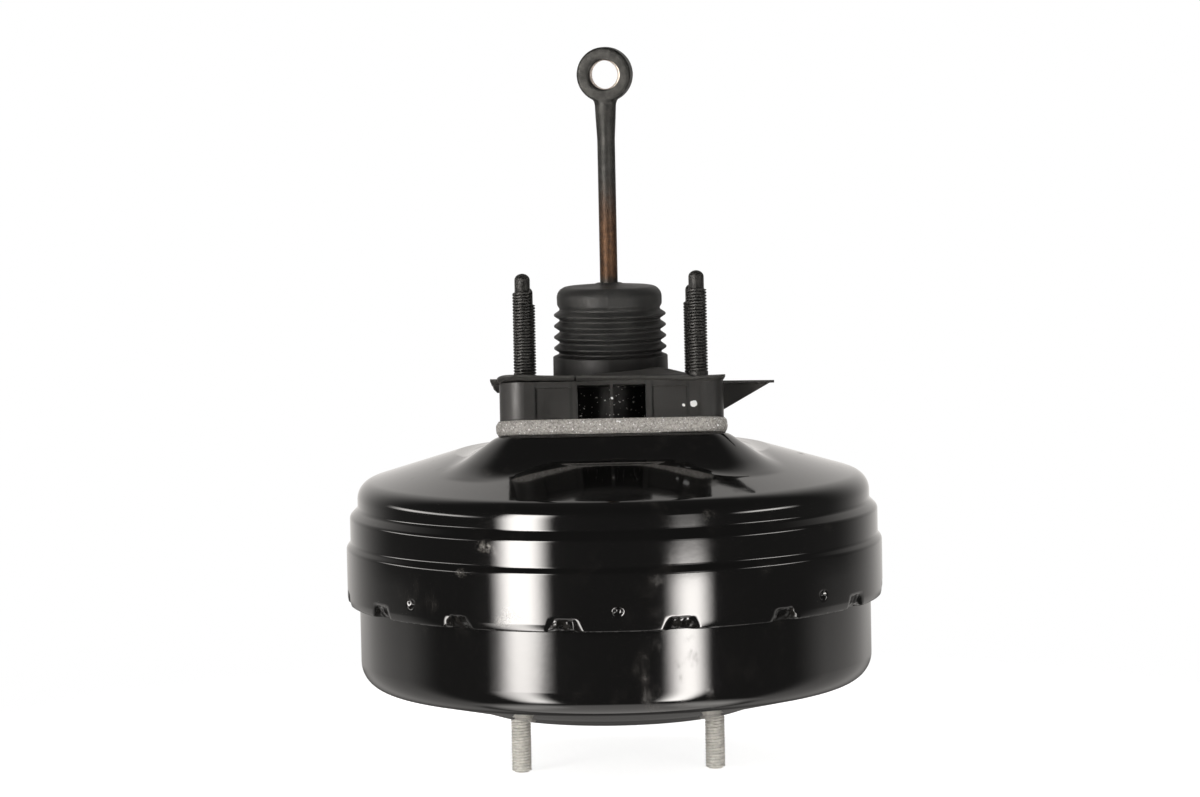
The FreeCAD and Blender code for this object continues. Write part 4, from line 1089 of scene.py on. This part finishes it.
def make_cylinder_studs():
    """Two zinc studs that hang from the front shell's face."""
    tip = cylinder_stud_reach
    root_radius = stud_radius - thread_depth
    nose = [(root_radius, tip - cylinder_stud_chamfer), (root_radius - 0.6, tip)]
    points, faces = [], []
    for x in (-cylinder_stud_side, cylinder_stud_side):
        base = Vector((x, 0, 0))
        stud = stud_points(lambda p: base + Vector((p.x, -p.y, -p.z)), -cylinder_stud_root, tip, 2.0,
                           tip - cylinder_stud_chamfer, nose)
        join(points, faces, *stud)
    studs = mesh_object("cylinder_stud_threads", points, faces, zinc_stud, 60.0)
    piece(studs, "housing", "zinc_stud", "master_cylinder_studs")


# Pushrod


def eye_ring_points():
    """Closed ring round the eye's axis with rounded edges."""
    half = eye_thickness / 2
    corners = [
        (eye_bore, 0.0), (eye_bore, half), (eye_radius, half),
        (eye_radius, -half), (eye_bore, -half), (eye_bore, -0.001),
    ]
    outline = rounded(corners, [eye_chamfer] * 4, 5)
    turn = Matrix.Rotation(-eye_yaw, 3, "Z")
    points = []
    for p in outline:
        for angle in angles(eye_sides):
            spot = Vector((p.x * math.sin(angle), p.y, p.x * math.cos(angle)))
            spot.rotate(turn)
            points.append(spot + Vector((0, 0, eye_level)))
    return points, sheet_faces(len(outline), eye_sides)


def rod_path(neck):
    """Outline of the rod from its foot to inside the eye's ring."""
    points = [
        (rod_tip_radius, rod_foot),
        (rod_radius, rod_foot),
        (rod_radius, neck - rod_swell_start),
        (rod_radius + 0.6, neck - rod_swell_middle),
        (rod_neck_radius, neck),
        (rod_radius + 4.0, neck + 4.5),
        (rod_tip_radius, neck + 5.0),
    ]
    return refined(rounded(points, [0.4, 8.0, 8.0, 6.0, 1.0], 6), 2.0)


def make_rod():
    """Rod that flattens into the eye, melted together as a forging is."""
    neck = eye_level - eye_radius
    flat_share = (eye_thickness / 2 - 0.5) / rod_neck_radius
    turn = Matrix.Rotation(-eye_yaw, 3, "Z")
    path = rod_path(neck)
    points = []
    for p in path:
        flat = ramp_between(neck - rod_flat_start, neck + 1, p.y)
        for angle in angles(rod_sides):
            spot = around(p.x, p.y, angle)
            spot.y *= 1 + (flat_share - 1) * flat
            if p.y > neck and p.x > rod_neck_radius:
                spot.y *= rod_neck_radius / p.x
            spot.rotate(turn)
            points.append(spot)
    faces = sheet_faces(len(path), rod_sides)
    join(points, faces, *eye_ring_points())
    rod = mesh_object("pushrod_forging", points, faces, rod_steel, 50.0)
    remesh = rod.modifiers.new("forged", "REMESH")
    remesh.mode = "VOXEL"
    remesh.voxel_size = rod_voxel * MM
    remesh.use_smooth_shade = True
    smooth = rod.modifiers.new("blend", "SMOOTH")
    smooth.factor = 0.5
    smooth.iterations = rod_smoothing
    piece(rod, "pushrod", "rod_steel", "pushrod")


# Studio


def softbox(name, azimuth, elevation, size, radiance):
    """Area lamp of a given radiance. Azimuth 0 is on the camera's side, and positive is to the right."""
    lamp = bpy.data.lights.new(name, "AREA")
    lamp.shape = "RECTANGLE"
    lamp.size, lamp.size_y = size
    lamp.energy = radiance * math.pi * size[0] * size[1]
    obj = bpy.data.objects.new(name, lamp)
    bpy.context.scene.collection.objects.link(obj)
    a, e = math.radians(azimuth), math.radians(elevation)
    way = Vector((math.sin(a) * math.cos(e), -math.cos(a) * math.cos(e), math.sin(e)))
    obj.location = studio_centre + way * lamp_distance
    obj.rotation_euler = (studio_centre - obj.location).to_track_quat("-Z", "Y").to_euler()
    obj.visible_camera = False
    obj.visible_glossy = False


def make_lamps():
    """Two tall softboxes beside the camera and a wide one overhead, behind."""
    softbox("left_softbox", -41.0, 12.0, (0.5, 0.9), 8.0)
    softbox("right_softbox", 34.0, 10.0, (0.5, 0.9), 6.5)
    softbox("overhead", 180.0, 72.0, (1.1, 0.9), 2.2)


def background_share(nodes, links):
    """1 for the rays that see the white background."""
    path = nodes.new("ShaderNodeLightPath")
    share = path.outputs["Is Camera Ray"]
    for name in ("Is Glossy Ray", "Is Transmission Ray"):
        add = nodes.new("ShaderNodeMath")
        add.operation = "ADD"
        add.use_clamp = True
        links.new(share, add.inputs[0])
        links.new(path.outputs[name], add.inputs[1])
        share = add.outputs[0]
    return share


def make_world():
    """Grey room light, and a white background for the rays that see it."""
    world = bpy.data.worlds.new("studio")
    bpy.context.scene.world = world
    world.use_nodes = True
    nodes, links = world.node_tree.nodes, world.node_tree.links
    mix = nodes.new("ShaderNodeMix")
    mix.data_type = "RGBA"
    mix.inputs[6].default_value = room_grey
    mix.inputs[7].default_value = background_white
    links.new(background_share(nodes, links), mix.inputs[0])
    links.new(mix.outputs[2], nodes["Background"].inputs["Color"])


def dome_points(rows, count):
    """Sphere of points round the object, from the bottom to the top."""
    points = []
    for row in range(rows):
        tilt = math.pi * row / (rows - 1) - math.pi / 2
        ring_radius = dome_radius / MM * math.cos(tilt)
        level = dome_radius / MM * math.sin(tilt)
        points += [around(ring_radius, level, angle) for angle in angles(count)]
    return points


def make_reflections():
    """Dome that only gloss sees: dark cloth, two tall softboxes, the backdrop and the pale base."""
    look = Look("studio_reflections")
    x, y, z = (look.part(axis) for axis in "XYZ")
    turn = look.calc("ARCTAN2", x, look.calc("MULTIPLY", y, -1.0, clamp=False), clamp=False)
    azimuth = look.calc("MULTIPLY", turn, math.degrees(1.0), clamp=False)
    height = look.calc("ARCSINE", look.calc("DIVIDE", z, dome_radius, clamp=False), clamp=False)
    elevation = look.calc("MULTIPLY", height, math.degrees(1.0), clamp=False)
    aside = look.calc("ABSOLUTE", azimuth, clamp=False)
    total = look.band(elevation, 0.0, 60.0, 0.13, 0.09)

    def add_light(radiance, way, sides, heights):
        """Adds a light that fills a window of angles, with soft edges."""
        nonlocal total
        share = look.calc("MULTIPLY", look.window(way, sides), look.window(elevation, heights))
        total = look.calc("ADD", total, look.calc("MULTIPLY", share, radiance, clamp=False), clamp=False)

    # Left softbox in two parts, upper and lower
    add_light(27.0, azimuth, (-55, -44, -37, -26), (-13, -8, 29, 35))
    add_light(17.5, azimuth, (-60, -43, -41.5, -30.5), (-57, -44, -13, -8))
    # Right softbox in two parts, lower and upper
    add_light(25.0, azimuth, (19, 31, 33, 43), (-55, -46, -5.9, -4))
    add_light(2.5, azimuth, (22, 30, 34, 42), (-5.9, -4, 18, 24))
    # Low strips at both sides
    add_light(12.0, azimuth, (52, 66, 74, 92), (6, 9, 12, 15))
    add_light(9.0, azimuth, (-124, -100, -76, -58), (6, 9, 12, 15))
    # Backdrop behind the object
    add_light(0.8, aside, (108, 158, 181, 182), (-11, -5, 42, 62))
    # Pale base behind, below and beside the object
    add_light(0.65, aside, (84, 110, 145, 172), (-60, -54, -11, -5))
    add_light(1.5, aside, (-2, -1, 181, 182), (-92, -91, -66, -58))
    add_light(1.8, aside, (38, 60, 95, 130), (-78, -68, -62, -52))
    glow = look.nodes.new("ShaderNodeEmission")
    glow.inputs["Color"].default_value = (1.0, 0.965, 0.93, 1.0)
    look.links.new(total, glow.inputs["Strength"])
    look.links.new(glow.outputs[0], look.nodes["Material Output"].inputs["Surface"])
    rows, count = 65, 128
    faces = sheet_faces(rows, count)
    dome = mesh_object("studio_reflections", dome_points(rows, count), faces, look.material)
    dome.visible_camera = False
    dome.visible_diffuse = False
    dome.visible_shadow = False
    dome.visible_transmission = False


def floor_look():
    """Pale floor, lifted towards white for the camera, that turns clear away from the object."""
    look = Look("pale_floor")
    look.feed("Base Color", look.mix(look.noise(30.0, 4.0), (0.8, 0.795, 0.785), (0.84, 0.835, 0.825)))
    look.set(Roughness=0.7)
    glow = look.nodes.new("ShaderNodeEmission")
    seen = look.calc("MULTIPLY", background_share(look.nodes, look.links), 0.8)
    look.links.new(seen, glow.inputs["Strength"])
    both = look.nodes.new("ShaderNodeAddShader")
    look.links.new(look.shader.outputs[0], both.inputs[0])
    look.links.new(glow.outputs[0], both.inputs[1])
    clear = look.nodes.new("ShaderNodeBsdfTransparent")
    mix = look.nodes.new("ShaderNodeMixShader")
    faded = look.band(look.distance(look.where), floor_fade_start * MM, floor_fade_end * MM)
    look.links.new(faded, mix.inputs[0])
    look.links.new(both.outputs[0], mix.inputs[1])
    look.links.new(clear.outputs[0], mix.inputs[2])
    look.links.new(mix.outputs[0], look.nodes["Material Output"].inputs["Surface"])
    return look.material


def make_floor():
    """Round floor just below the lowest solid."""
    level = cad_low.z / MM - 0.1
    rings, count = 24, 96
    points = [Vector((0, 0, level))]
    for ring in range(1, rings + 1):
        points += [around(floor_radius * ring / rings, level, angle) for angle in angles(count)]
    faces = [(0, 1 + k, 1 + (k + 1) % count) for k in range(count)]
    faces += sheet_faces(rings, count, 1)
    floor = mesh_object("pale_floor", points, faces, floor_look())
    floor.visible_glossy = False


def make_camera():
    """Camera of the photograph: a long lens a little above the drum, rolled by a degree."""
    lens = bpy.data.cameras.new("camera")
    lens.lens = 135.0
    lens.sensor_width = 36.0
    lens.clip_end = 50.0
    elevation = math.atan(camera_slope)
    back = Vector((0, -math.cos(elevation), math.sin(elevation)))
    right = Vector((1, 0, 0))
    up = Vector((0, math.sin(elevation), math.cos(elevation)))
    side = right * math.cos(camera_roll) - up * math.sin(camera_roll)
    top = right * math.sin(camera_roll) + up * math.cos(camera_roll)
    turned = Matrix((side, top, back)).transposed().to_4x4()
    camera = bpy.data.objects.new("camera", lens)
    bpy.context.scene.collection.objects.link(camera)
    camera.matrix_world = Matrix.Translation(camera_target + back * camera_distance) @ turned
    bpy.context.scene.camera = camera


bpy.context.scene.view_settings.view_transform = "Standard"
dress_cad_nodes()
make_rear_shell()
make_front_shell()
make_boot()
make_foam()
make_gasket()
make_firewall_studs()
make_cylinder_studs()
make_rod()
make_lamps()
make_world()
make_reflections()
make_floor()
make_camera()
